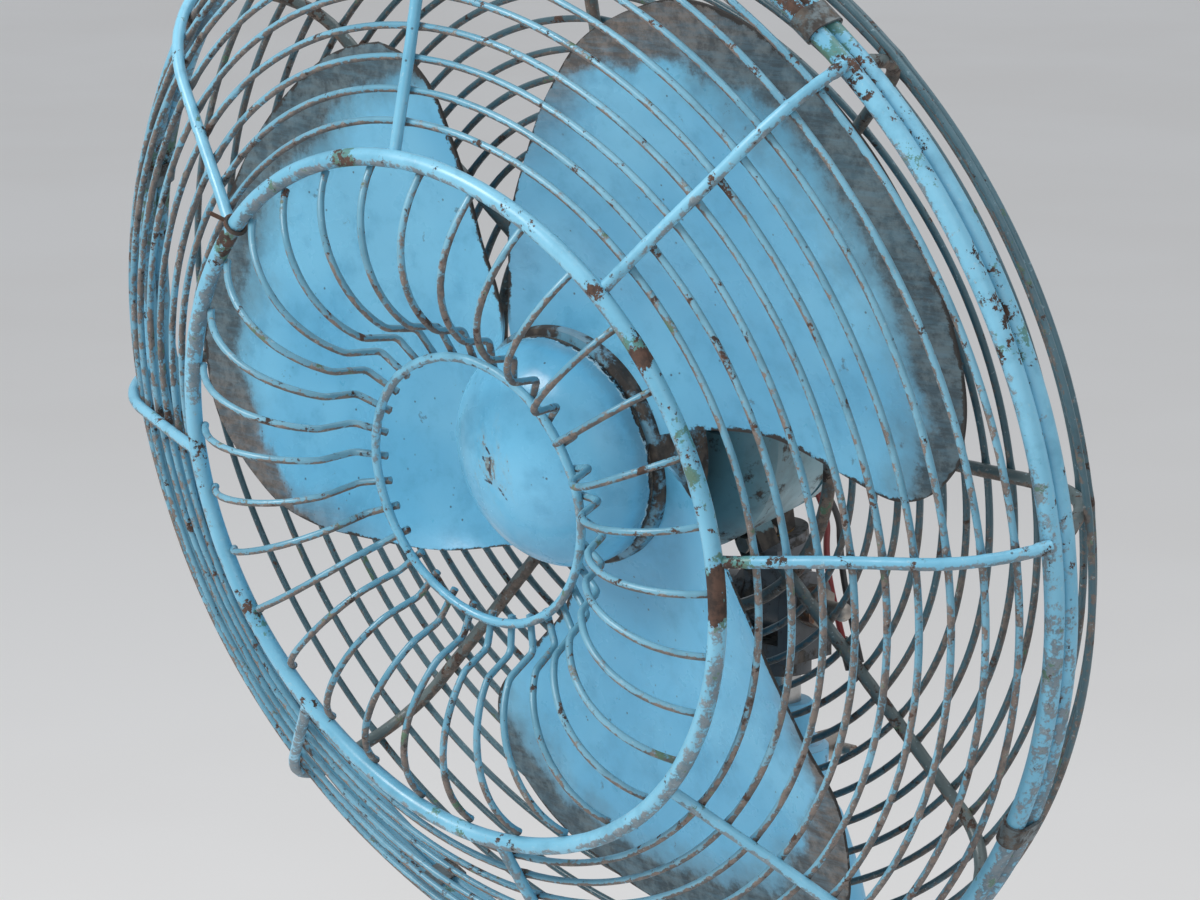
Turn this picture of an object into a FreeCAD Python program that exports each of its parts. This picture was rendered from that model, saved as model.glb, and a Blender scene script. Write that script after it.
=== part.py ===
import FreeCAD, Part
import math
import os

# Pedestal fan, 400 mm sweep. World frame: +Z up, the fan blows towards -Y, and the origin is on
# the floor at the centre of the round base. The fan head is drawn level in its own head frame,
# whose origin is the centre of the guard's middle ring: X to the right, Y to the rear, Z up.
# in_world() then hangs it on the tilt pivot with its nose down. All sizes are millimetres.

Vector = FreeCAD.Vector
ORIGIN = Vector(0, 0, 0)
X_AXIS = Vector(1, 0, 0)
Y_AXIS = Vector(0, 1, 0)
Z_AXIS = Vector(0, 0, 1)

# ---- driving dimensions: stand -------------------------------------------------------------
BASE_RADIUS = 225.0
FOOT_HEIGHT = 5.0
FOOT_RADIUS = 12.0
FOOT_CIRCLE = 205.0
BASE_TOP = 48.0
POLE_RADIUS = 16.0
POLE_WALL = 2.0
MAST_RADIUS = 8.0
RUNNING_GAP = 0.06
PIVOT_HEIGHT = 900.0
COLLAR_BOTTOM = PIVOT_HEIGHT - 80.0
COLLAR_SHOULDER = PIVOT_HEIGHT - 56.0
COLLAR_TOP = PIVOT_HEIGHT - 40.0
COLLAR_RADIUS = 19.0
COLLAR_NECK = 13.5
POLE_TOP = COLLAR_BOTTOM + 10.0
SCREW_LEVEL = COLLAR_BOTTOM + 16.0
HOUSING_TOP = COLLAR_BOTTOM
HOUSING_BOTTOM = PIVOT_HEIGHT - 245.0
HOUSING_RADIUS = 40.0
HOUSING_WALL = 1.6
KNOB_HEIGHT = PIVOT_HEIGHT - 200.0
MAST_BOTTOM = 440.0

# ---- driving dimensions: head --------------------------------------------------------------
TILT_DOWN = 10.8
PIVOT_REAR = 168.0
PIVOT_DROP = 99.0
SPOKES = 8
SPOKE_STEP = 360.0 / SPOKES
WIRE_RADIUS = 1.35
SPOKE_RADIUS = 2.2
REAR_SPOKE_RADIUS = 2.5
WELD_SINK = 0.25
MID_RING_RADIUS = 130.0
MID_RING_ROD = 3.2
INNER_RING_RADIUS = 51.0
INNER_RING_ROD = 1.7
INNER_RING_REAR = 17.4
HOOP_RADIUS = 224.6
HOOP_ROD = 3.5
FRONT_HOOP_REAR = 63.2
REAR_HOOP_REAR = 70.6
FRONT_RINGS = 9
REAR_RINGS = 13
REAR_RING_PITCH = 10.95
MEDALLION_WIRES = 32
MOUNT_HOOP_RADIUS = 82.0
MOUNT_HOOP_ROD = 2.5
MOUNT_HOOP_REAR = 116.4
MOTOR_RADIUS = 58.0
MOTOR_WALL = 3.0
MOTOR_FRONT = 104.0
MOTOR_SPLIT = 136.0
MOTOR_REAR = 184.0
SHAFT_RADIUS = 5.0
HUB_RADIUS = 46.0
BLADES = 3
BLADE_THICKNESS = 1.2
SPINNER_RADIUS = 43.5
SPINNER_NOSE = 32.5
SPINNER_BASE = 61.0
WORM_REAR = 204.0
WHEEL_OFFSET = -19.0
WHEEL_TEETH = 28
WORM_LEAD = 3.0
WHEEL_PITCH_RADIUS = WHEEL_TEETH * WORM_LEAD / (2 * math.pi)
WORM_PITCH_RADIUS = -WHEEL_OFFSET - WHEEL_PITCH_RADIUS
LINK_BOTTOM = -69.4
LINK_TOP = -66.4
POST_OFFSET = -16.0
CRANK_THROW = 9.0


# ---- helpers -------------------------------------------------------------------------------
def rod(radius, start, end):
    """Solid round rod between two points."""
    span = Vector(*end) - Vector(*start)
    return Part.makeCylinder(radius, span.Length, Vector(*start), span)


def sleeve(outer, inner, start, end):
    """Round tube between two points."""
    span = Vector(*end) - Vector(*start)
    margin = Vector(span).normalize()
    hole_start = Vector(*start) - margin
    hole = Part.makeCylinder(inner, span.Length + 2, hole_start, span)
    return rod(outer, start, end).cut(hole)


def box(low, high):
    """Block between its lowest and highest corners."""
    size = Vector(*high) - Vector(*low)
    return Part.makeBox(size.x, size.y, size.z, Vector(*low))


def fused(shapes):
    """One solid from touching shapes."""
    return shapes[0].multiFuse(shapes[1:]).removeSplitter()


def drilled(shape, holes):
    """The shape without the given hole solids."""
    return shape.cut(Part.makeCompound(holes))


def arc(first, middle, last):
    """Circular arc edge through three points given as vectors."""
    return Part.Arc(first, middle, last).toShape()


def line(first, last):
    """Straight edge between two points given as vectors."""
    return Part.LineSegment(first, last).toShape()


def turned(outline, upright=True):
    """Solid of revolution. Each outline point is (radius, height), or (radius, height, 'mid')
    where the point is the middle of an arc between its neighbours."""
    def place(point):
        if upright:
            return Vector(point[0], 0, point[1])
        return Vector(point[0], point[1], 0)
    edges = []
    count = len(outline)
    index = 0
    while index < count:
        here = outline[index]
        following = outline[(index + 1) % count]
        if len(following) == 3:
            last = outline[(index + 2) % count]
            edges.append(arc(place(here), place(following), place(last)))
            index += 2
        else:
            edges.append(line(place(here), place(following)))
            index += 1
    face = Part.Face(Part.Wire(edges))
    return face.revolve(ORIGIN, Z_AXIS if upright else Y_AXIS, 360)


def swept(edges, radius):
    """Round wire of the given radius along tangent edges."""
    path = Part.Wire(edges)
    start = path.Edges[0].valueAt(path.Edges[0].FirstParameter)
    heading = path.Edges[0].tangentAt(path.Edges[0].FirstParameter)
    section = Part.Wire(Part.makeCircle(radius, start, heading))
    pipe = Part.BRepOffsetAPI.MakePipeShell(path)
    pipe.add(section)
    pipe.build()
    pipe.makeSolid()
    return pipe.shape()


def bent_wire(start, heading, moves, radius):
    """Wire bent in the plane of the fan's axis. start is (radius out, distance to the rear),
    heading is degrees from straight out towards the rear, and each move is (length, 0) for a
    straight run or (bend radius, turn) for a bend."""
    out, rear = start
    angle = math.radians(heading)
    edges = []
    for size, turn in moves:
        here = Vector(out, rear, 0)
        if turn == 0:
            out += size * math.cos(angle)
            rear += size * math.sin(angle)
            edges.append(line(here, Vector(out, rear, 0)))
            continue
        side = 1 if turn > 0 else -1
        centre_out = out - side * size * math.sin(angle)
        centre_rear = rear + side * size * math.cos(angle)
        points = []
        for share in (0.5, 1.0):
            swung = angle + math.radians(turn) * share
            points.append(Vector(centre_out + side * size * math.sin(swung),
                                 centre_rear - side * size * math.cos(swung), 0))
        edges.append(arc(here, points[0], points[1]))
        angle += math.radians(turn)
        out, rear = points[1].x, points[1].y
    return swept(edges, radius)


def routed_wire(points, radius):
    """Wire through corner points: straight runs joined by tangent arcs, each with a radius of
    0.45 of its shorter run over the tangent of half its turn."""
    corners = [Vector(*point) for point in points]
    edges = []
    here = corners[0]
    for before, corner, after in zip(corners, corners[1:], corners[2:]):
        back = (before - corner).normalize()
        ahead = (after - corner).normalize()
        reach = 0.45 * min((before - corner).Length, (after - corner).Length)
        first = corner + back * reach
        last = corner + ahead * reach
        half_turn = (math.pi - back.getAngle(ahead)) / 2
        bend = reach / math.tan(half_turn)
        bisector = (back + ahead).normalize()
        depth = bend / math.cos(half_turn) - bend
        edges.append(line(here, first))
        edges.append(arc(first, corner + bisector * depth, last))
        print("lead bend radius", round(bend, 1))
        here = last
    edges.append(line(here, corners[-1]))
    return swept(edges, radius)


def ring(radius, rear, rod_radius):
    """Round wire ring about the fan's axis."""
    return Part.makeTorus(radius, rod_radius, Vector(0, rear, 0), Y_AXIS)


def around(shape, degrees):
    """Copy of a head shape turned about the fan's axis, anticlockwise seen from the front."""
    copy = shape.copy()
    copy.rotate(ORIGIN, Y_AXIS, -degrees)
    return copy


def pattern(shape, count, first=0.0):
    """Copies of a shape spaced evenly about the fan's axis."""
    return Part.makeCompound([around(shape, first + 360.0 * k / count) for k in range(count)])


def about_z(shape, degrees, centre=ORIGIN):
    """Copy turned about an upright axis."""
    copy = shape.copy()
    copy.rotate(centre, Z_AXIS, degrees)
    return copy


def in_world(shape):
    """Move a head shape from the head frame onto the tilt pivot, nose down."""
    copy = shape.copy()
    copy.translate(Vector(0, -PIVOT_REAR, PIVOT_DROP))
    copy.rotate(ORIGIN, X_AXIS, TILT_DOWN)
    copy.translate(Vector(0, 0, PIVOT_HEIGHT))
    return copy


def hexagon(across, start, end):
    """Hexagonal bar along a line."""
    span = Vector(*end) - Vector(*start)
    corner = across / math.sqrt(3)
    points = []
    for k in range(7):
        angle = math.radians(60 * k)
        points.append(Vector(corner * math.cos(angle), corner * math.sin(angle), 0))
    prism = Part.Face(Part.makePolygon(points)).extrude(Vector(0, 0, span.Length))
    turn = FreeCAD.Rotation(Z_AXIS, span)
    prism.Placement = FreeCAD.Placement(Vector(*start), turn)
    return prism


# ---- stand ---------------------------------------------------------------------------------
SOCKET_BOLT_CIRCLE = 41.0
FLANGE_TOP = BASE_TOP + 8.0
SOCKET_TOP = BASE_TOP + 84.0


def base_plate():
    """Domed cast base, hollow below, with a flat boss for the pole socket."""
    outline = [
        (18, BASE_TOP), (56, BASE_TOP), (62, BASE_TOP - 4),
        (140, 24, "mid"), (216, 16),
        (223, 14.2, "mid"), (BASE_RADIUS, 10), (BASE_RADIUS, FOOT_HEIGHT),
        (184, FOOT_HEIGHT), (184, 12), (120, 20, "mid"), (60, 32), (18, 34),
    ]
    body = turned(outline)
    holes = []
    for k in range(4):
        x = SOCKET_BOLT_CIRCLE * math.cos(math.radians(45 + 90 * k))
        y = SOCKET_BOLT_CIRCLE * math.sin(math.radians(45 + 90 * k))
        holes.append(rod(3.0, (x, y, 0), (x, y, BASE_TOP + 1)))
    return drilled(body, holes)


def rubber_feet():
    """Four round pads under the rim."""
    feet = []
    for k in range(4):
        x = FOOT_CIRCLE * math.cos(math.radians(45 + 90 * k))
        y = FOOT_CIRCLE * math.sin(math.radians(45 + 90 * k))
        pad = rod(FOOT_RADIUS, (x, y, 0), (x, y, FOOT_HEIGHT))
        feet.append(pad.makeChamfer(1.0, [pad.Edges[2]]))
    return Part.makeCompound(feet)


def pole_socket():
    """Flanged socket that holds the pole on the base."""
    outline = [
        (POLE_RADIUS, BASE_TOP + 2), (POLE_RADIUS, SOCKET_TOP), (20, SOCKET_TOP),
        (22, SOCKET_TOP - 2), (24, FLANGE_TOP + 14),
        (26.5, FLANGE_TOP + 4, "mid"), (34, FLANGE_TOP), (50, FLANGE_TOP),
        (52, FLANGE_TOP - 2), (52, BASE_TOP), (0, BASE_TOP), (0, BASE_TOP + 2),
    ]
    body = turned(outline)
    holes = []
    for k in range(4):
        x = SOCKET_BOLT_CIRCLE * math.cos(math.radians(45 + 90 * k))
        y = SOCKET_BOLT_CIRCLE * math.sin(math.radians(45 + 90 * k))
        holes.append(rod(3.0, (x, y, 0), (x, y, FLANGE_TOP + 1)))
    return drilled(body, holes)


def socket_bolts():
    """Four hexagon-headed bolts through the socket's flange."""
    bolts = []
    for k in range(4):
        x = SOCKET_BOLT_CIRCLE * math.cos(math.radians(45 + 90 * k))
        y = SOCKET_BOLT_CIRCLE * math.sin(math.radians(45 + 90 * k))
        head = hexagon(10.0, (x, y, FLANGE_TOP), (x, y, FLANGE_TOP + 4))
        shank = rod(3.0, (x, y, BASE_TOP - 12), (x, y, FLANGE_TOP))
        bolts.append(fused([head, shank]))
    return Part.makeCompound(bolts)


def outer_pole():
    """Fixed steel tube, drilled for the leads to the speed regulator."""
    tube = sleeve(POLE_RADIUS, POLE_RADIUS - POLE_WALL,
                  (0, 0, BASE_TOP + 2), (0, 0, POLE_TOP))
    wire_hole = rod(4.0, (0, 0, HOUSING_BOTTOM + 30), (0, 30, HOUSING_BOTTOM + 30))
    return tube.cut(wire_hole)


def pole_collar():
    """Clamping collar at the top of the pole, tapped for the height screw."""
    outline = [
        (POLE_RADIUS, COLLAR_BOTTOM), (COLLAR_RADIUS, COLLAR_BOTTOM),
        (COLLAR_RADIUS, COLLAR_SHOULDER - 2), (COLLAR_RADIUS - 2, COLLAR_SHOULDER),
        (COLLAR_NECK, COLLAR_SHOULDER), (COLLAR_NECK, COLLAR_TOP - 1.5),
        (COLLAR_NECK - 1.5, COLLAR_TOP), (MAST_RADIUS + RUNNING_GAP, COLLAR_TOP),
        (MAST_RADIUS + RUNNING_GAP, POLE_TOP), (POLE_RADIUS, POLE_TOP),
    ]
    tapped = rod(3.05, (0, 0, SCREW_LEVEL), (0, 40, SCREW_LEVEL))
    return turned(outline).cut(tapped)


def height_screw():
    """Hand screw that clamps the mast in the collar."""
    shank = rod(3.0, (0, MAST_RADIUS + 0.4, SCREW_LEVEL), (0, 27, SCREW_LEVEL))
    hub = rod(6.0, (0, 22, SCREW_LEVEL), (0, 32, SCREW_LEVEL))
    bar = rod(2.5, (-14, 28, SCREW_LEVEL), (14, 28, SCREW_LEVEL))
    return fused([shank, hub, bar])


def control_housing():
    """Bell-shaped cover of the speed regulator, with a flat pad for the knob."""
    def shell_outline(inset):
        return [
            (0, HOUSING_BOTTOM - 1), (HOUSING_RADIUS - inset, HOUSING_BOTTOM - 1),
            (HOUSING_RADIUS - inset, HOUSING_BOTTOM + 70),
            (37.2 - inset, HOUSING_BOTTOM + 108, "mid"), (25.5 - inset, HOUSING_TOP - 9 - inset),
            (22.5 - inset, HOUSING_TOP - 2.5 - inset, "mid"), (18 - inset, HOUSING_TOP - inset),
            (0, HOUSING_TOP - inset),
        ]
    pad = rod(22.0, (0, -30, KNOB_HEIGHT), (0, -43, KNOB_HEIGHT))
    outer = fused([turned(shell_outline(0)), pad])
    hollow_pad = rod(20.0, (0, -20, KNOB_HEIGHT), (0, -41.4, KNOB_HEIGHT))
    hollow = fused([turned(shell_outline(HOUSING_WALL)), hollow_pad])
    holes = [
        hollow,
        rod(POLE_RADIUS, (0, 0, HOUSING_BOTTOM - 5), (0, 0, HOUSING_TOP + 5)),
        rod(3.3, (0, -30, KNOB_HEIGHT), (0, -50, KNOB_HEIGHT)),
        rod(6.0, (0, 30, HOUSING_BOTTOM + 24), (0, 50, HOUSING_BOTTOM + 24)),
        box((-60, -60, HOUSING_BOTTOM - 10), (60, 60, HOUSING_BOTTOM)),
    ]
    return drilled(outer, holes)


def control_base():
    """Round plate that closes the control housing from below."""
    inner = HOUSING_RADIUS - HOUSING_WALL
    outline = [
        (POLE_RADIUS, HOUSING_BOTTOM), (inner, HOUSING_BOTTOM), (inner, HOUSING_BOTTOM + 2),
        (24, HOUSING_BOTTOM + 2), (24, HOUSING_BOTTOM + 10), (POLE_RADIUS, HOUSING_BOTTOM + 10),
    ]
    return turned(outline)


def speed_regulator():
    """Rotary choke block behind the knob, clamped round the pole."""
    block = box((-17, -33, KNOB_HEIGHT - 22), (17, -8, KNOB_HEIGHT + 22))
    clamp = rod(21.0, (0, 0, KNOB_HEIGHT - 12), (0, 0, KNOB_HEIGHT + 12))
    bore = rod(POLE_RADIUS, (0, 0, KNOB_HEIGHT - 60), (0, 0, KNOB_HEIGHT + 60))
    socket = rod(3.05, (0, -25, KNOB_HEIGHT), (0, -60, KNOB_HEIGHT))
    return fused([block, clamp]).cut(bore).cut(socket)


def dial_plate():
    """Thin round plate between the knob and the housing."""
    return sleeve(20.0, 3.3, (0, -43, KNOB_HEIGHT), (0, -43.8, KNOB_HEIGHT))


def control_knob():
    """Fluted speed knob on its spindle."""
    body = rod(15.0, (0, -44.4, KNOB_HEIGHT), (0, -58, KNOB_HEIGHT))
    body = body.makeChamfer(1.5, [body.Edges[0], body.Edges[2]])
    flutes = []
    for k in range(12):
        x = 16.2 * math.cos(math.radians(30 * k + 15))
        z = KNOB_HEIGHT + 16.2 * math.sin(math.radians(30 * k + 15))
        flutes.append(rod(2.6, (x, -40, z), (x, -70, z)))
    pointer = box((-1.2, -59.2, KNOB_HEIGHT + 2), (1.2, -56, KNOB_HEIGHT + 12))
    spindle = rod(3.0, (0, -27, KNOB_HEIGHT), (0, -46, KNOB_HEIGHT))
    return fused([drilled(body, flutes), pointer, spindle])


def cable_gland():
    """Rubber gland for the supply lead at the back of the housing."""
    wall = HOUSING_RADIUS - HOUSING_WALL
    level = HOUSING_BOTTOM + 24
    outline = [
        (3.2, wall - 3), (7.5, wall - 3), (7.5, wall - 1), (6.0, wall - 1),
        (6.0, HOUSING_RADIUS + 0.2), (8.0, HOUSING_RADIUS + 0.2), (8.0, HOUSING_RADIUS + 4),
        (5.0, HOUSING_RADIUS + 16), (3.2, HOUSING_RADIUS + 16),
    ]
    gland = turned(outline, upright=False)
    gland.translate(Vector(0, 0, level))
    return gland


# ---- mast and tilt joint -------------------------------------------------------------------
EAR_GAP = 9.75
EAR_OUTER = 14.75
EAR_RADIUS = 13.0
TILT_BOLT_RADIUS = 5.0
FORK_BOTTOM = PIVOT_HEIGHT - 24.0


def inner_pole():
    """Round mast that slides in the pole."""
    mast = rod(MAST_RADIUS, (0, 0, MAST_BOTTOM), (0, 0, FORK_BOTTOM + 6))
    return mast.makeChamfer(0.8, [mast.Edges[0]])


def mast_guide():
    """Bush on the foot of the mast that runs in the pole."""
    outer = POLE_RADIUS - POLE_WALL - RUNNING_GAP
    return sleeve(outer, MAST_RADIUS, (0, 0, MAST_BOTTOM + 2), (0, 0, MAST_BOTTOM + 42))


def tilt_fork():
    """Forked casting on top of the mast: two ears for the tilt bolt."""
    ears = []
    for side in (-1, 1):
        inner = side * EAR_GAP
        outer = side * EAR_OUTER
        ears.append(rod(EAR_RADIUS, (inner, 0, PIVOT_HEIGHT), (outer, 0, PIVOT_HEIGHT)))
        low_x, high_x = min(inner, outer), max(inner, outer)
        ears.append(box((low_x, -EAR_RADIUS, PIVOT_HEIGHT - 20), (high_x, EAR_RADIUS, PIVOT_HEIGHT)))
    bridge = box((-EAR_OUTER, -EAR_RADIUS, FORK_BOTTOM + 2), (EAR_OUTER, EAR_RADIUS, PIVOT_HEIGHT - 15))
    boss = rod(12.0, (0, 0, FORK_BOTTOM - 4), (0, 0, FORK_BOTTOM + 4))
    holes = [
        rod(TILT_BOLT_RADIUS, (-20, 0, PIVOT_HEIGHT), (20, 0, PIVOT_HEIGHT)),
        rod(MAST_RADIUS, (0, 0, FORK_BOTTOM - 10), (0, 0, FORK_BOTTOM + 6)),
    ]
    return drilled(fused(ears + [bridge, boss]), holes)


def tilt_bolt():
    """Pivot bolt of the tilt joint, with a domed end and a threaded end."""
    shank = rod(TILT_BOLT_RADIUS, (-29, 0, PIVOT_HEIGHT), (16, 0, PIVOT_HEIGHT))
    collar = hexagon(15.0, (EAR_OUTER, 0, PIVOT_HEIGHT), (EAR_OUTER + 6, 0, PIVOT_HEIGHT))
    handle = rod(3.4, (18, 0, PIVOT_HEIGHT), (31, 0, PIVOT_HEIGHT))
    end = Part.makeSphere(3.8, Vector(31, 0, PIVOT_HEIGHT))
    return fused([shank, collar, handle, end])


def tilt_wing_nut():
    """Wing nut that clamps the tilt joint."""
    hub = rod(8.0, (-EAR_OUTER - 0.3, 0, PIVOT_HEIGHT), (-26, 0, PIVOT_HEIGHT))
    wings = []
    for side in (-1, 1):
        tip = side * 14
        wings.append(rod(6.0, (-22.4, tip, PIVOT_HEIGHT), (-25.4, tip, PIVOT_HEIGHT)))
        low = (-25.4, min(0, tip), PIVOT_HEIGHT - 4)
        wings.append(box(low, (-22.4, max(0, tip), PIVOT_HEIGHT + 4)))
    bore = rod(TILT_BOLT_RADIUS + 0.04, (-10, 0, PIVOT_HEIGHT), (-30, 0, PIVOT_HEIGHT))
    return fused([hub] + wings).cut(bore)


def at_pivot(x, rear, up):
    """Point in the head frame, given from the tilt pivot."""
    return (x, PIVOT_REAR + rear, up - PIVOT_DROP)


BLOCK_TOP = -70.0
STUD_RADIUS = 5.0


def tilt_block():
    """Casting between the fork's ears, with the swivel seat and the link post on top."""
    barrel = rod(12.5, at_pivot(-9.5, 0, 0), at_pivot(9.5, 0, 0))
    riser = box(at_pivot(-9.5, -9, 0), (9.5, PIVOT_REAR + 9, BLOCK_TOP - 3))
    top = Vector(0, PIVOT_REAR, BLOCK_TOP - 4)
    seat = Part.makeCylinder(14.0, 4.0, top, Z_AXIS)
    arm = box((POST_OFFSET - 5, PIVOT_REAR - 5, BLOCK_TOP - 4), (0, PIVOT_REAR + 5, BLOCK_TOP))
    post = rod(3.0, (POST_OFFSET, PIVOT_REAR, BLOCK_TOP - 3), (POST_OFFSET, PIVOT_REAR, LINK_TOP + 0.8))
    holes = [
        rod(TILT_BOLT_RADIUS + 0.05, at_pivot(-20, 0, 0), at_pivot(20, 0, 0)),
        rod(STUD_RADIUS, (0, PIVOT_REAR, BLOCK_TOP - 9), (0, PIVOT_REAR, BLOCK_TOP + 2)),
    ]
    return drilled(fused([barrel, riser, seat, arm, post]), holes)


def swivel_stud():
    """Upright pin that the head swings on."""
    return rod(STUD_RADIUS, (0, PIVOT_REAR, BLOCK_TOP - 9), (0, PIVOT_REAR, -50))


def thrust_washer():
    """Washer under the head's swivel boss."""
    return sleeve(8.5, STUD_RADIUS, (0, PIVOT_REAR, BLOCK_TOP), (0, PIVOT_REAR, BLOCK_TOP + 0.6))


def link_arm():
    """Flat drive link from the post on the tilt block to the crank pin."""
    crank_end = (WHEEL_OFFSET + CRANK_THROW, WORM_REAR)
    start = Vector(POST_OFFSET, PIVOT_REAR, LINK_BOTTOM)
    end = Vector(crank_end[0], crank_end[1], LINK_BOTTOM)
    thickness = LINK_TOP - LINK_BOTTOM
    span = end - start
    bar = Part.makeBox(span.Length, 6.0, thickness, Vector(0, -3, 0))
    bar.Placement = FreeCAD.Placement(start, FreeCAD.Rotation(X_AXIS, span))
    eyes = [Part.makeCylinder(5.0, thickness, start, Z_AXIS),
            Part.makeCylinder(5.0, thickness, end, Z_AXIS)]
    low = Vector(0, 0, 1)
    holes = [Part.makeCylinder(3.05, thickness + 2, start - low, Z_AXIS),
             Part.makeCylinder(3.2, thickness + 2, end - low, Z_AXIS)]
    return drilled(fused([bar] + eyes), holes)


# ---- motor ---------------------------------------------------------------------------------
BUSH_RADIUS = 9.0
STATOR_RADIUS = MOTOR_RADIUS - MOTOR_WALL
BRACKET_THICKNESS = 2.0
BRACKET_FRONT = MOUNT_HOOP_REAR + MOUNT_HOOP_ROD - WELD_SINK
FLANGE_FRONT = BRACKET_FRONT + BRACKET_THICKNESS
BRACKET_FIRST = 0.0
BRACKET_SCREW_CIRCLE = 66.0
MOTOR_BOLT_FIRST = 20.0
MOTOR_BOLT_CIRCLE = 62.0


def motor_lugs(front, rear, reach, first):
    """Four lugs on the outside of a motor shell."""
    return pattern(box((MOTOR_RADIUS - 2.5, front, -6), (reach, rear, 6)), 4, first).Solids


def motor_screw_holes(out, first):
    """Four round holes along the motor's axis."""
    return pattern(rod(2.0, (out, 110, 0), (out, 160, 0)), 4, first)


def motor_front_shell():
    """Front bell of the motor, with the bearing boss and the guard's lugs."""
    outline = [
        (BUSH_RADIUS, 98), (14, 98), (16, 100),
        (22, 103, "mid"), (34, MOTOR_FRONT),
        (51, 106.5, "mid"), (MOTOR_RADIUS, 116),
        (MOTOR_RADIUS, MOTOR_SPLIT), (STATOR_RADIUS, MOTOR_SPLIT), (STATOR_RADIUS, 117),
        (48, 109, "mid"), (34, MOTOR_FRONT + MOTOR_WALL), (14, MOTOR_FRONT + MOTOR_WALL),
        (14, 110), (BUSH_RADIUS, 110),
    ]
    body = turned(outline, upright=False)
    lugs = motor_lugs(FLANGE_FRONT, FLANGE_FRONT + 5, 71, BRACKET_FIRST)
    lugs += motor_lugs(MOTOR_SPLIT - 5, MOTOR_SPLIT, 67, MOTOR_BOLT_FIRST)
    vents = pattern(box((24, 100, -2.5), (44, 112, 2.5)), 8, 0)
    holes = [vents, motor_screw_holes(BRACKET_SCREW_CIRCLE, BRACKET_FIRST),
             motor_screw_holes(MOTOR_BOLT_CIRCLE, MOTOR_BOLT_FIRST)]
    return drilled(fused([body] + lugs), holes)


def motor_rear_shell():
    """Rear bell of the motor, with the swivel boss under it."""
    outline = [
        (BUSH_RADIUS, 160), (15, 160), (15, MOTOR_REAR - MOTOR_WALL), (30, MOTOR_REAR - MOTOR_WALL),
        (47, 174, "mid"), (STATOR_RADIUS, 156), (STATOR_RADIUS, MOTOR_SPLIT),
        (MOTOR_RADIUS, MOTOR_SPLIT), (MOTOR_RADIUS, 157),
        (49.5, 176, "mid"), (30, MOTOR_REAR), (BUSH_RADIUS, MOTOR_REAR),
    ]
    body = turned(outline, upright=False)
    boss_top = Vector(0, PIVOT_REAR, BLOCK_TOP + 1.0)
    boss = Part.makeCylinder(9.0, 24.0, boss_top, Z_AXIS)
    rib = box((-4, 146, -61), (4, 178, -44))
    inside = turned([(0, 137), (STATOR_RADIUS, 137), (STATOR_RADIUS, 156), (47, 174, "mid"),
                     (30, MOTOR_REAR - MOTOR_WALL), (0, MOTOR_REAR - MOTOR_WALL)], upright=False)
    trimmed = fused([boss, rib]).cut(inside)
    bore = rod(STUD_RADIUS + 0.05, (0, PIVOT_REAR, -80), (0, PIVOT_REAR, -49.8))
    lead_hole = rod(GROMMET_RADIUS, GROMMET_TOP, GROMMET_BOTTOM)
    lugs = motor_lugs(MOTOR_SPLIT, MOTOR_SPLIT + 5, 67, MOTOR_BOLT_FIRST)
    bolt_holes = motor_screw_holes(MOTOR_BOLT_CIRCLE, MOTOR_BOLT_FIRST)
    groove = turned([(MOTOR_RADIUS - 1.2, 150), (MOTOR_RADIUS + 2, 150), (MOTOR_RADIUS + 2, 152.4),
                     (MOTOR_RADIUS - 1.2, 152.4)], upright=False)
    return drilled(fused([body, trimmed] + lugs), [bore, lead_hole, groove, bolt_holes])


def motor_bolts():
    """Bolts and nuts that hold the two motor shells together."""
    start = MOTOR_SPLIT - 5
    end = MOTOR_SPLIT + 5
    head = hexagon(6.0, (MOTOR_BOLT_CIRCLE, start - 3, 0), (MOTOR_BOLT_CIRCLE, start, 0))
    shank = rod(2.0, (MOTOR_BOLT_CIRCLE, start, 0), (MOTOR_BOLT_CIRCLE, end + 5, 0))
    nut = hexagon(6.0, (MOTOR_BOLT_CIRCLE, end, 0), (MOTOR_BOLT_CIRCLE, end + 3, 0))
    return pattern(fused([head, shank, nut]), 4, MOTOR_BOLT_FIRST)


GROMMET_RADIUS = 4.2
GROMMET_TOP = (14, 174.3, -43)
GROMMET_BOTTOM = (14, 179.7, -52)


def stator_core():
    """Laminated stator with slots on its bore."""
    body = sleeve(STATOR_RADIUS, 28.5, (0, 119, 0), (0, 150, 0))
    slots = pattern(box((28, 118, -2.2), (43, 151, 2.2)), 16)
    return body.cut(slots)


def stator_windings():
    """End turns of the winding, one ring at each end of the stator."""
    front = turned([(30, 111), (44, 111), (46, 113), (46, 119), (30, 119)], upright=False)
    rear = turned([(30, 150), (46, 150), (46, 156), (44, 158), (30, 158)], upright=False)
    return Part.makeCompound([front, rear])


def bush(front, rear):
    """Plain bearing for the motor shaft."""
    return sleeve(BUSH_RADIUS, SHAFT_RADIUS + 0.04, (0, front, 0), (0, rear, 0))


COVER_SCREWS = [(-31.4, 190.6), (13.0, 190.6), (-31.4, 219.4), (13.0, 219.4)]


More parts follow.
